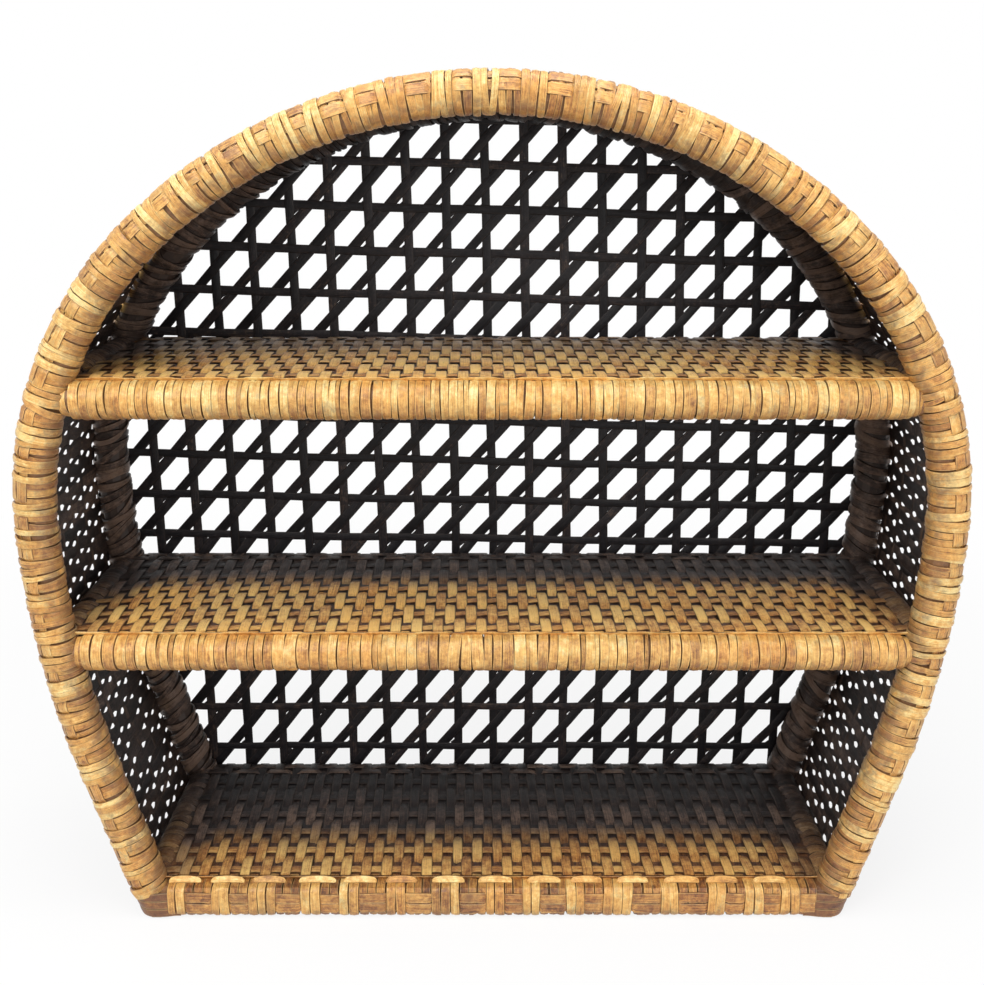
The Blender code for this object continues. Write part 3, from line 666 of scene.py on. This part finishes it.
def build_bottom_rail():
    """Raised wraps in twos and threes over flat strips that run along the squared bottom rail."""
    height = LEVELS["bottom"] - FRONT_RAIL_DROP
    reach = hoop_x(height) - RAIL_END_INSET - 0.5 * MM
    place = rail_place(-HALF_SPACING, height, SQUARE_POWER)
    strips = Strips("bottom_front_rail_wraps", "golden_peel", 31)
    wraps = ladder(strips.random, reach, SQUARE_WIDTHS, (2, 2, 3), (2, 3))
    for middle, width, raised in wraps:
        tone = strips.random.uniform(0.43, 0.79) if raised else strips.random.uniform(0.18, 0.47)
        humps = [(turn, 0.24, RUNNER_PEEL) for turn in SQUARE_TURNS] if raised else []
        base = SQUARE_BASE + (0.2 * MM if raised else 0)
        # Painted shade darkens the lower half of each wrap.
        wrap(strips, place, middle, width, base, SQUARE_PEEL, tone, 0.4 * MM, None, rail_stain_and_shade(0.5), humps)
    strips.build("bottom_front_rail_binding")
    strips = Strips("bottom_front_rail_runners", "golden_peel", 41)
    for turn in SQUARE_TURNS:
        runner(strips, place, wraps, reach, turn, SQUARE_RUNNER_WIDTH, SQUARE_BASE + 1.3 * MM, SQUARE_BASE,
               (0.18, 0.52))
    strips.build()


FOOT_RADIUS = 13.4 * MM
FOOT_HEIGHTS = (4.6 * MM, 11.4 * MM, 18.2 * MM)
FOOT_REACH = 19 * MM
FOOT_STRIP = 7.0 * MM
FOOT_PEEL = 1.1 * MM


def build_foot_strips():
    """Flat strips that cover the front hoop's feet, level with the bottom rail."""
    strips = Strips("front_foot_strips", "golden_peel", 45)
    turn = np.linspace(-math.pi / 2, math.radians(70), 18)
    for side in (-1, 1):
        for height in FOOT_HEIGHTS:
            centre = hoop_x(height)
            straight = np.linspace(centre - FOOT_REACH, centre, 9)[:-1]
            sunk = 1.6 * MM * smooth(5 * MM, 17 * MM, centre - straight)
            x = np.concatenate([straight, centre + FOOT_RADIUS * np.cos(turn)])
            y = np.concatenate([sunk - FOOT_RADIUS, FOOT_RADIUS * np.sin(turn)]) - HALF_SPACING
            normal_x = np.concatenate([0 * straight, np.cos(turn)])
            normal_y = np.concatenate([0 * straight - 1, np.sin(turn)])
            lift = strips.up * FOOT_PEEL - 0.4 * MM
            z = height + strips.across * FOOT_STRIP
            lean = (z - height) * math.tan(LEG_LEAN)
            points = points_at(side * (x[:, None] + normal_x[:, None] * lift + lean),
                               y[:, None] + normal_y[:, None] * lift, z)
            lengths = np.concatenate([[0], np.cumsum(np.hypot(np.diff(x), np.diff(y)))])
            strips.add(points, lengths, strips.random.uniform(0.10, 0.32), 0.12, 0.9)
    strips.build()


def depth_age_and_shade(front, back, begin, end):
    """Age and painted shade that grow from the shelf's front to its back."""
    return lambda points: front + (back - front) * smooth(begin, end, points[..., 1])


BAR_REACH = 0.0735
BAR_WIDTHS = (4.8 * MM, 7.2 * MM)
BAR_BASE = 10.4 * MM
BAR_PEEL = 1.6 * MM
BAR_SLANT = 1.9 * MM


def build_cross_bars():
    """Wraps round the bars at both ends of each deck, darker towards the back with age and painted shade."""
    bar_age_and_shade = depth_age_and_shade(0.56, 1.05, -0.095, 0.080)
    seed = 50
    for level, top in LEVELS.items():
        height = top - CROSS_BAR_DROP
        for side, sign in (("left", -1), ("right", 1)):
            seed += 1
            place = bar_place(sign * (hoop_x(height) - BAR_INSET), height)
            name = level + "_" + side + "_cross_bar"
            strips = Strips(name + "_wraps", "brown_peel", seed)
            for middle, width in lay(strips.random, BAR_REACH, BAR_WIDTHS):
                tone = strips.random.uniform(0.25, 0.75) + 0.08
                base = BAR_BASE + strips.random.normal(0, 0.16) * MM
                wrap(strips, place, middle, width, base, BAR_PEEL, tone, BAR_SLANT, bar_age_and_shade, tip=0.5)
            strips.build(name + "_binding")


DECK_HALF = DECK_THICKNESS / 2
ROLL_RADIUS = 8.5 * MM + 0.3 * MM + DECK_HALF
ROLL_LENGTH = ROLL_RADIUS * math.radians(135)
DECK_END_INSET = 12.6 * MM
WARP_PITCH = 7.85 * MM
WARP_WIDTHS = (7.7, 8.5)  # in millimetres
WARP_LIFT = 1.1 * MM
WARP_PEEL = 0.95 * MM
WARP_BEND = 1.9
WEFT_WIDTH = 8.8 * MM
# Painted shade where a strip dives behind a weft: its place past the weft's middle and its half length
SHADE_SHIFT, SHADE_HALF = 5.2 * MM, 2.0 * MM
# Depths between which painted shade darkens a deck towards the back, and distances from its ends where
# painted shade darkens it beside the cross bars
BACK_SHADE_DEPTHS = (-0.02, 0.06)
BAR_SHADE = (36 * MM, 10 * MM)
# Long stitches along the back edge: rows, width and length in warps
STITCH_ROWS = (HALF_SPACING - 12.0 * MM, HALF_SPACING - 3.2 * MM)
STITCH_WIDTH = 6.6 * MM
STITCH_WARPS = 3.5
SHADE_LINING_STRIPS = 18
# Each deck's painted shade towards the back, tone, painted shade beside the bars, and age with painted shade
# from front to back
DECK_LOOKS = {
    "bottom": (0.55, -0.04, 0.45, depth_age_and_shade(0.16, 1.42, -0.066, 0.024)),
    "middle": (0.30, 0.08, 0.80, depth_age_and_shade(-0.46, 1.22, -0.042, 0.062)),
    "upper": (0.0, 0.12, 0.70, depth_age_and_shade(-0.50, 0.66, -0.066, 0.060)),
}


def deck_path(travel, level, lift):
    """Depth and height in a deck at a travel that follows the top and then rolls over the rear rail."""
    middle = LEVELS[level] - DECK_HALF
    over = np.maximum(travel - HALF_SPACING, 0)
    angle = math.pi / 2 - over / ROLL_RADIUS
    radius = ROLL_RADIUS + lift
    y = np.where(over > 0, HALF_SPACING + radius * np.cos(angle), travel)
    z = np.where(over > 0, middle - ROLL_RADIUS + radius * np.sin(angle), middle + lift)
    return y, z


def bar_shade_share(x, half):
    """1 at a deck's ends, where painted shade darkens it beside the cross bars, and 0 further in."""
    return smooth(half - BAR_SHADE[0], half - BAR_SHADE[1], np.abs(x))


def weft_shade(travel, sign):
    """Painted shade: 1 where a strip dives behind a weft, fading to 0 beside it."""
    shade = 0 * travel
    for row, depth in enumerate(DECK_ROWS):
        under = (1 - sign * math.cos(row * math.pi)) / 2
        shade = shade + under * np.exp(-((travel - depth - SHADE_SHIFT) / SHADE_HALF) ** 4)
    return shade


def build_deck_warps(level, seed, half, travel):
    """The strips from front to back that go over and under the wefts."""
    back_shade_share, tone_shift, end_shade, age_and_shading = DECK_LOOKS[level]
    warps = Strips(level + "_deck_warps", "deck_weave", seed, CANE)
    random = warps.random
    count = int(2 * half // WARP_PITCH)
    phase = (travel - DECK_ROWS[0]) / WEFT_PITCH * math.pi
    fade = 1 - 0.72 * smooth(HALF_SPACING - 6 * MM, HALF_SPACING + 4 * MM, travel)
    fade = fade * (0.35 + 0.65 * smooth(-HALF_SPACING, -HALF_SPACING + 6 * MM, travel))
    # Painted shade darkens each deck towards the back.
    back_shade = back_shade_share * smooth(*BACK_SHADE_DEPTHS, travel)
    for index in range(count):
        centre = (index - (count - 1) / 2) * WARP_PITCH
        sign = 1 if index % 2 else -1
        wave = np.tanh(WARP_BEND * sign * np.cos(phase)) / math.tanh(WARP_BEND)
        shade = weft_shade(travel, sign)
        shift, swing, _ = random.normal(0, 0.22, 3) * MM
        sway = shift + swing * np.sin(travel / 0.019 + index)
        sway = sway + 0.35 * MM * np.sin(phase + index * math.pi)
        width = random.uniform(*WARP_WIDTHS) * MM * (0.98 + 0.05 * wave)
        y, z = deck_path(travel + 0 * warps.up, level, WARP_LIFT * wave * fade + warps.up * WARP_PEEL)
        x = centre + sway + warps.across * width
        points = points_at(x, y, z)
        # Painted shade: low parts of a warp are darker, older and more stained, and it darkens behind each
        # weft, towards the back and beside the bars.
        tone = random.uniform(0.46, 0.94) + 0.10 * wave - back_shade + tone_shift
        ages_and_shading = age_and_shading(points) + 0.12 * (1 - wave) / 2 + bar_shade_share(x, half) * end_shade + 0.55 * shade
        warps.add(points, travel[:, 0], tone - 0.20 * shade, ages_and_shading, 0.45 - 0.25 * wave)
    warps.build(level + "_deck")


def build_deck_wefts(level, seed, half):
    """The strips from end to end, and the two long-stitched rows along the back edge."""
    back_shade_share, _, end_shade, age_and_shading = DECK_LOOKS[level]
    wefts = Strips(level + "_deck_wefts", "deck_weave", seed, CANE)
    along = np.arange(-half - 3 * MM, half + 3 * MM, 2.6 * MM)[:, None]
    phase = along / WARP_PITCH * math.pi
    for row, depth in enumerate(DECK_ROWS):
        lift = 0.35 * MM * np.sin(phase + row * math.pi) + 0.2 * MM + wefts.up * FLAT_PEEL
        y = depth - 1.2 * MM + wefts.random.normal(0, 0.3) * MM + wefts.across * WEFT_WIDTH
        points = points_at(along, y, LEVELS[level] - DECK_HALF + lift)
        # Painted shade darkens the wefts towards the back and beside the cross bars.
        tone = wefts.varied(along, half, 40, (0.38, 0.84)) - back_shade_share * float(smooth(*BACK_SHADE_DEPTHS, depth))
        wefts.add(points, along[:, 0], tone, age_and_shading(points) + bar_shade_share(along, half) * end_shade, 0.4)
    for row, middle in enumerate(STITCH_ROWS):
        stitch = np.cos(TAU * (along / (STITCH_WARPS * WARP_PITCH) + 0.5 * row))
        lift = 1.5 * MM * smooth(-0.75, -0.25, stitch) - 0.4 * MM + wefts.up * 1.0 * MM
        y, z = deck_path(middle + wefts.across * STITCH_WIDTH + 0 * along, level, lift)
        points = points_at(along, y, z)
        wefts.add(points, along[:, 0], wefts.varied(along, half, 40, (0.3, 0.9)), age_and_shading(points), 0.2)
    wefts.build()


def build_deck_shade_lining(level, seed, half, travel):
    """A thin dark layer amid the weave, so that no light comes through the deck; its dark colour is painted
    shade seen through the gaps.
    """
    shade_lining = Strips(level + "_deck_shade_lining", "deck_weave", seed, CANE)
    pitch = 2 * half / SHADE_LINING_STRIPS
    y, z = deck_path(travel + 0 * shade_lining.up, level, shade_lining.up * 0.5 * MM - 0.55 * MM)
    # The lining's painted shade deepens towards the back.
    ages_and_shading = 0.50 + 0.85 * smooth(-0.07, 0.03, y)
    for index in range(SHADE_LINING_STRIPS):
        centre = -half + (index + 0.5) * pitch
        points = points_at(centre + shade_lining.across * (pitch + 1 * MM), y, z)
        shade_lining.add(points, travel[:, 0], 0.2, ages_and_shading, 0.8)
    shade_lining.build()


def build_decks():
    """Each deck's strips both ways and the dark lining of painted shade between them."""
    travel = np.arange(-HALF_SPACING + 1.6 * MM, HALF_SPACING + ROLL_LENGTH, 1.9 * MM)[:, None]
    for number, (level, top) in enumerate(LEVELS.items()):
        half = hoop_x(top) - DECK_END_INSET
        build_deck_warps(level, 61 + number, half, travel)
        build_deck_wefts(level, 71 + number, half)
        build_deck_shade_lining(level, 76 + number, half, travel)


TRIM_END_INSET = 14.0 * MM
TRIM_STITCH = 38 * MM
TRIM_WIDTH = 2.9 * MM
# Broad stitches on the bottom rail: half length and distance apart, in millimetres
BROAD_REACHES = (12.0, 15.0)
BROAD_STEPS = (31.0, 38.0)


def build_trims():
    """The thin pale strip along each deck's front edge, and the broad stitches over the bottom one."""
    for number, (level, top) in enumerate(LEVELS.items()):
        strips = Strips(level + "_deck_edging", "pale_trim", 81 + number, CANE)
        half = hoop_x(top) - TRIM_END_INSET
        bottom = level == "bottom"
        along = np.arange(-half, half, 1.8 * MM)[:, None]
        jitter = 0.25 * np.sin(along / 0.11 + number)
        rise = smooth(-0.85, 0.1, np.cos(TAU * (along / TRIM_STITCH + jitter)))
        z = top - 2.7 * MM + 1.2 * MM * rise + strips.across * TRIM_WIDTH
        y = 0.9 * MM - HALF_SPACING - 1.3 * MM * rise - strips.across * 1.6 * MM - strips.up * FLAT_PEEL
        # Painted shade: the trim is darker where it dips down between its stitches.
        tone = strips.varied(along, half, 30, (0.30, 0.62) if bottom else (0.55, 1.0)) + 0.12 * (rise - 1)
        strips.add(points_at(along, y, z), along[:, 0], tone, 0.0, 0.1)
        if bottom:
            add_broad_stitches(strips, top, half)
        strips.build(level + "_deck_trim")


def add_broad_stitches(strips, top, half):
    """Broad stitches that arch over the top edge of the bottom rail."""
    share = np.linspace(-1, 1, 19)[:, None]
    arch = np.sqrt(np.maximum(0, 1 - share ** 2))
    out = strips.across * (2.4 + 3.3 * arch ** 0.6) * MM
    z = top - 3.2 * MM + 1.9 * MM * arch + 0.66 * out + strips.up * FLAT_PEEL
    y = -HALF_SPACING - 3.4 * MM + 0.75 * out - strips.up * FLAT_PEEL
    middle = -half + 16 * MM
    while middle < half - 12 * MM:
        reach = strips.random.uniform(*BROAD_REACHES) * MM
        points = points_at(middle + share * reach, y, z)
        strips.add(points, (share[:, 0] + 1) * reach, strips.random.uniform(0.52, 0.85), 0.0, 0.3)
        middle += strips.random.uniform(*BROAD_STEPS) * MM


WALL_HALF = 74.5 * MM
WALL_PERIOD = 14.6 * MM
WALL_NARROW = 4.6 * MM
# Holes: shift to each side of a weft, half length, half height, the strips' overlap elsewhere, and the
# heights between which they shrink to their share in the dome
HOLE_SHIFT = 5.7 * MM
HOLE_HALF_LENGTH = 4.2 * MM
HOLE_HALF_HEIGHT = 2.30 * MM
SEAM_OVERLAP = 0.34 * MM
HOLE_FADE = (0.455, 0.405)
DOME_SHARE = 0.36


def wall_opening(random, depth, place, shift):
    """Half of the holes' height along a seam, which differs from hole to hole and is small in the dome."""
    hole = 0 * depth
    low, high = (hoop_reach(height) for height in HOLE_FADE)
    open_share = DOME_SHARE + (1 - DOME_SHARE) * smooth(low, high, abs(place))
    for row in WALL_ROWS:
        size = random.uniform(0.74, 1.20) * (random.uniform() > 0.08) * open_share
        hole = hole + size * np.exp(-((depth - row - shift) / HOLE_HALF_LENGTH) ** 4)
    return HOLE_HALF_HEIGHT * hole - SEAM_OVERLAP


def wall_seams(random, depth):
    """Places and openings of the seams between the wall's strips, from one foot to the other."""
    found = []
    for turn in range(int(2 * HALF_LENGTH // WALL_PERIOD) + 2):
        for offset, shift in ((0, -HOLE_SHIFT), (WALL_NARROW, HOLE_SHIFT)):
            place = turn * WALL_PERIOD + offset - HALF_LENGTH
            found.append((place, wall_opening(random, depth, place, shift)))
    return [seam for seam in found if seam[0] < HALF_LENGTH + WALL_NARROW]


def build_wall():
    """The side wall: strips from front to back, narrow and wide by turns, with holes beside each weft."""
    warps = Strips("wall_warps", "wall_weave", 91, CANE)
    depth = np.linspace(-WALL_HALF, WALL_HALF, 44)[:, None]
    phase = (depth - WALL_ROWS[0]) / WEFT_PITCH * math.pi
    seams = wall_seams(warps.random, depth)
    for index, (before, after) in enumerate(zip(seams, seams[1:])):
        low = before[0] + before[1]
        high = after[0] - after[1]
        wave = (1 if index // 2 % 2 else -1) * np.cos(phase) * (1 if index % 2 else -0.3)
        lift = 0.42 * MM * wave + warps.up * FLAT_PEEL
        points = wall_place((low + high) / 2 + warps.across * (high - low), depth, lift)
        ages_and_shading = 1.0 - 0.35 * smooth(-0.2, 0.5, warps.up) + 0.1 * smooth(-0.07, 0.07, depth)
        warps.add(points, depth[:, 0], warps.random.uniform(0.2, 0.8), ages_and_shading, 0.4)
    warps.build("side_wall")
    wefts = Strips("wall_wefts", "wall_weave", 92, CANE)
    along = np.arange(-HALF_LENGTH, HALF_LENGTH + 1 * MM, 3.2 * MM)[:, None]
    lift = 0.2 * MM * np.sin(along / (5 * MM) * math.pi) + wefts.up * 0.7 * MM
    for row in WALL_ROWS:
        points = wall_place(along, row + wefts.across * 5.8 * MM, lift)
        wefts.add(points, along[:, 0], wefts.varied(along, HALF_LENGTH, 90, (0.2, 0.8)), 0.9, 0.4)
    wefts.build()


COLUMN_PITCH = 32.05 * MM
COLUMN_SHIFT = 0.8 * MM
BREAK_HEIGHT = 0.2605
UPPER_PITCH = 34.8 * MM
LOWER_PITCH = 40.2 * MM
FALL_SHARE = 0.027
FALL_START, FALL_END = 0.110, 0.330
SQUEEZE_SHARE = 0.03
LEAN_SHARE = 0.0225
LEAN_START = 0.250
LATTICE_TOP = 0.5932
LATTICE_FOOT = 11 * MM
LATTICE_DEPTH = 96.2 * MM
LATTICE_INSET = 6.5 * MM
LATTICE_PEEL = 0.8 * MM
LATTICE_WEAVE = 0.45 * MM
DIAGONAL_WEAVE = 0.85 * MM
UPRIGHT_WIDTH = 7.4 * MM
LEVEL_WIDTH = 6.9 * MM
TIE_WIDTH = 7.6 * MM
TIE_INSET = 9.5 * MM
COLUMNS = np.arange(-11, 12)
ROWS = np.arange(-7, 11)


def row_height(row):
    """Height of a lattice row, counted from the break: whole numbers are gap centres, halves are strips."""
    return np.where(row >= -0.5, BREAK_HEIGHT + UPPER_PITCH * row,
                    BREAK_HEIGHT - UPPER_PITCH / 2 + LOWER_PITCH * (row + 0.5))


def lattice_strip(strips, x, row, weave, width, inset=LATTICE_INSET):
    """One lattice strip along a path of places, cut where it meets the hoop."""
    z = row_height(row)
    above = np.maximum(0, z - FALL_START)
    fall = FALL_SHARE * np.minimum(1, above / (FALL_END - FALL_START))
    squeeze = SQUEEZE_SHARE * (above / (LATTICE_TOP - FALL_START)) ** 2
    lean = LEAN_SHARE * np.maximum(0, z - LEAN_START)
    x, z = x * (1 - squeeze) - lean, z - fall * x
    line_x, line_z, normal_x, normal_z = hoop_line(np.linspace(-HALF_LENGTH, HALF_LENGTH, 800))
    distance = np.hypot(x[:, None] - line_x, z[:, None] - line_z)
    nearest = distance.argmin(axis=1)
    inside = (line_x[nearest] - x) * normal_x[nearest] + (line_z[nearest] - z) * normal_z[nearest]
    kept = np.flatnonzero((inside > inset) & (z > LATTICE_FOOT))
    if len(kept) < 6:
        return
    kept = np.arange(kept[0], kept[-1] + 1)
    x, z, weave = x[kept], z[kept], weave[kept]
    run = np.gradient(x), np.gradient(z)
    size = np.hypot(*run)
    side_x, side_z = (-run[1] / size)[:, None], (run[0] / size)[:, None]
    lengths = np.concatenate([[0], np.cumsum(np.hypot(np.diff(x), np.diff(z)))])
    breadth = (width * strips.random.uniform(0.95, 1.05) + 0 * row)[kept]
    breadth = (breadth * (1 + 0.03 * np.sin(lengths / 0.023 + strips.random.uniform(0, TAU))))[:, None]
    sway = 0.45 * MM * np.sin(lengths / 0.04 + strips.random.uniform(0, TAU))[:, None]
    out = sway + strips.across * breadth
    y = LATTICE_DEPTH + weave[:, None] + strips.up * LATTICE_PEEL
    points = points_at(x[:, None] + side_x * out, y, z[:, None] + side_z * out)
    strips.add(points, lengths, strips.random.uniform(0.22, 0.72), 0.90, 0.3)


def add_uprights(strips):
    """The lattice's upright strips."""
    row = np.arange(-8, 11, 0.11)
    for column in COLUMNS:
        weave = -LATTICE_WEAVE * np.cos(math.pi * (row - 0.5 + column))
        lattice_strip(strips, column * COLUMN_PITCH + COLUMN_SHIFT + 0 * row, row, weave, UPRIGHT_WIDTH)


def add_levels(strips):
    """The lattice's level strips, over an upright and under the next."""
    x = np.arange(-0.33, 0.33, 3.4 * MM)
    for index in ROWS:
        weave = LATTICE_WEAVE * np.cos(math.pi * ((x - COLUMN_SHIFT) / COLUMN_PITCH + index))
        lattice_strip(strips, x, index + 0.5 + 0 * x, weave, LEVEL_WIDTH)


def add_diagonals(strips):
    """The lattice's diagonal strips, a little wider in the lowest rows."""
    share = np.arange(-12, 12, 0.11)
    weave = -DIAGONAL_WEAVE * np.cos(TAU * share)
    for index in range(-22, 23):
        row = share + index + 0.008
        width = 7.7 * MM + 0.8 * MM * smooth(-1.5, 0.5, -row)
        lattice_strip(strips, share * COLUMN_PITCH + COLUMN_SHIFT, row, weave, width)


def add_ties(strips):
    """A short strip behind each crossing, over most of the small corners that the diagonals cut off."""
    random = strips.random
    for column in COLUMNS:
        for index in ROWS:
            share = np.linspace(-random.uniform(0.108, 0.138), random.uniform(0.150, 0.205), 8)
            x = (column + share) * COLUMN_PITCH + COLUMN_SHIFT
            weave = DIAGONAL_WEAVE + 0 * share
            lattice_strip(strips, x, index + 0.5 - share, weave, TIE_WIDTH, TIE_INSET)


def build_lattice():
    """The lattice's layers. The uprights stand for the whole back."""
    layers = {"uprights": add_uprights, "levels": add_levels, "diagonals": add_diagonals, "ties": add_ties}
    for seed, (name, add_layer) in enumerate(layers.items(), 101):
        strips = Strips("lattice_" + name, "dark_cane", seed, CANE)
        add_layer(strips)
        replaced = ["back_lattice"] if name == "uprights" else []
        strips.build(*replaced)


def finish_nodes():
    """Give the poles and nails, which stay as they are, their own materials."""
    for name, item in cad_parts.items():
        look = POLE if "front" in name else POLE_DARK
        for slot in item.material_slots:
            slot.material = STEEL if name.endswith("_nail") else look


WHITE = (1.0, 1.0, 1.0, 1.0)
SURROUND_LIGHT = 0.36
FLOOR_HALF = 60.0
FLOOR_COLOUR = (0.90, 0.90, 0.90, 1.0)
# How much of the floor is plain white near the shelf, what is added further away, and where
GLOW_NEAR, GLOW_ADDED = 0.84, 0.16
GLOW_DISTANCES = (0.35, 1.2)
# Place, width and power of each lamp, and the point that they aim at
LAMPS = {
    "key": ((-0.60, -1.40, 1.55), 1.2, 22.0),
    "fill": ((0.90, -1.60, 0.60), 1.4, 10.0),
    "top": ((0.0, -0.20, 1.70), 1.0, 15.0),
}
LAMP_TARGET = (0, 0, 0.3)


def white_seen(tree):
    """1 for what the camera sees directly, in a mirror or through glass."""
    path = add_node(tree, "ShaderNodeLightPath")
    seen = maths(tree, "MAXIMUM", path.outputs["Is Camera Ray"], path.outputs["Is Glossy Ray"])
    return maths(tree, "MAXIMUM", seen, path.outputs["Is Transmission Ray"])


def build_surround():
    """A white surround that lights the shelf only softly."""
    world = bpy.data.worlds.new("surround")
    bpy.context.scene.world = world
    world.use_nodes = True
    tree = world.node_tree
    strength = maths(tree, "MAXIMUM", white_seen(tree), SURROUND_LIGHT)
    set_inputs(tree, tree.nodes["Background"], {"Color": WHITE, "Strength": strength})


def build_floor():
    """A pale floor that keeps the shelf's shadow and turns white further away."""
    mesh = bpy.data.meshes.new("floor")
    corners = [(x * FLOOR_HALF, y * FLOOR_HALF, 0) for x, y in ((-1, -1), (1, -1), (1, 1), (-1, 1))]
    mesh.from_pydata(corners, [], [(0, 1, 2, 3)])
    floor = add_object("floor", mesh)
    material, tree, shader = surface("floor_white")
    set_inputs(tree, shader, {"Base Color": FLOOR_COLOUR, "Roughness": 0.9})
    glow = add_node(tree, "ShaderNodeEmission", {"Color": WHITE, "Strength": 1.0})
    place = add_node(tree, "ShaderNodeTexCoord").outputs["Object"]
    reach = add_node(tree, "ShaderNodeVectorMath", {0: place}, operation="LENGTH").outputs["Value"]
    far = step_between(tree, reach, *GLOW_DISTANCES)
    share = maths(tree, "MULTIPLY", white_seen(tree), maths(tree, "MULTIPLY_ADD", far, GLOW_ADDED, GLOW_NEAR))
    mix = add_node(tree, "ShaderNodeMixShader", {0: share, 1: shader.outputs[0], 2: glow.outputs[0]})
    tree.links.new(mix.outputs[0], tree.nodes["Material Output"].inputs["Surface"])
    mesh.materials.append(material)


def build_lamps():
    """Soft round lamps from the upper left, the right and above, each aimed at the target."""
    for name, (place, width, power) in LAMPS.items():
        data = bpy.data.lights.new(name, "AREA")
        data.shape = "DISK"
        data.size = width
        data.energy = power
        lamp = add_object(name, data)
        lamp.location = place
        x, y, z = np.array(LAMP_TARGET) - np.array(place)
        lamp.rotation_euler = (math.acos(-z / math.sqrt(x * x + y * y + z * z)), 0, math.atan2(-x, y))


# The lens in pixels of the photograph, whose longer side is 985 pixels
LENS_PIXELS = 1167.7
LONG_SIDE = 985


def build_camera():
    """A camera at the photograph's place and angle."""
    data = bpy.data.cameras.new("camera")
    data.sensor_width = 36.0
    data.lens = LENS_PIXELS * data.sensor_width / LONG_SIDE
    camera = add_object("camera", data)
    camera.location = (0, -0.8658, 0.5727)
    camera.rotation_euler = (math.radians(73.34), 0, 0)
    bpy.context.scene.camera = camera


build_camera()
build_surround()
build_floor()
build_lamps()
build_hoops()
build_bottom_rail()
build_front_rails()
build_foot_strips()
build_cross_bars()
build_decks()
build_trims()
build_wall()
build_lattice()
finish_nodes()
bpy.context.scene.view_settings.view_transform = "Standard"
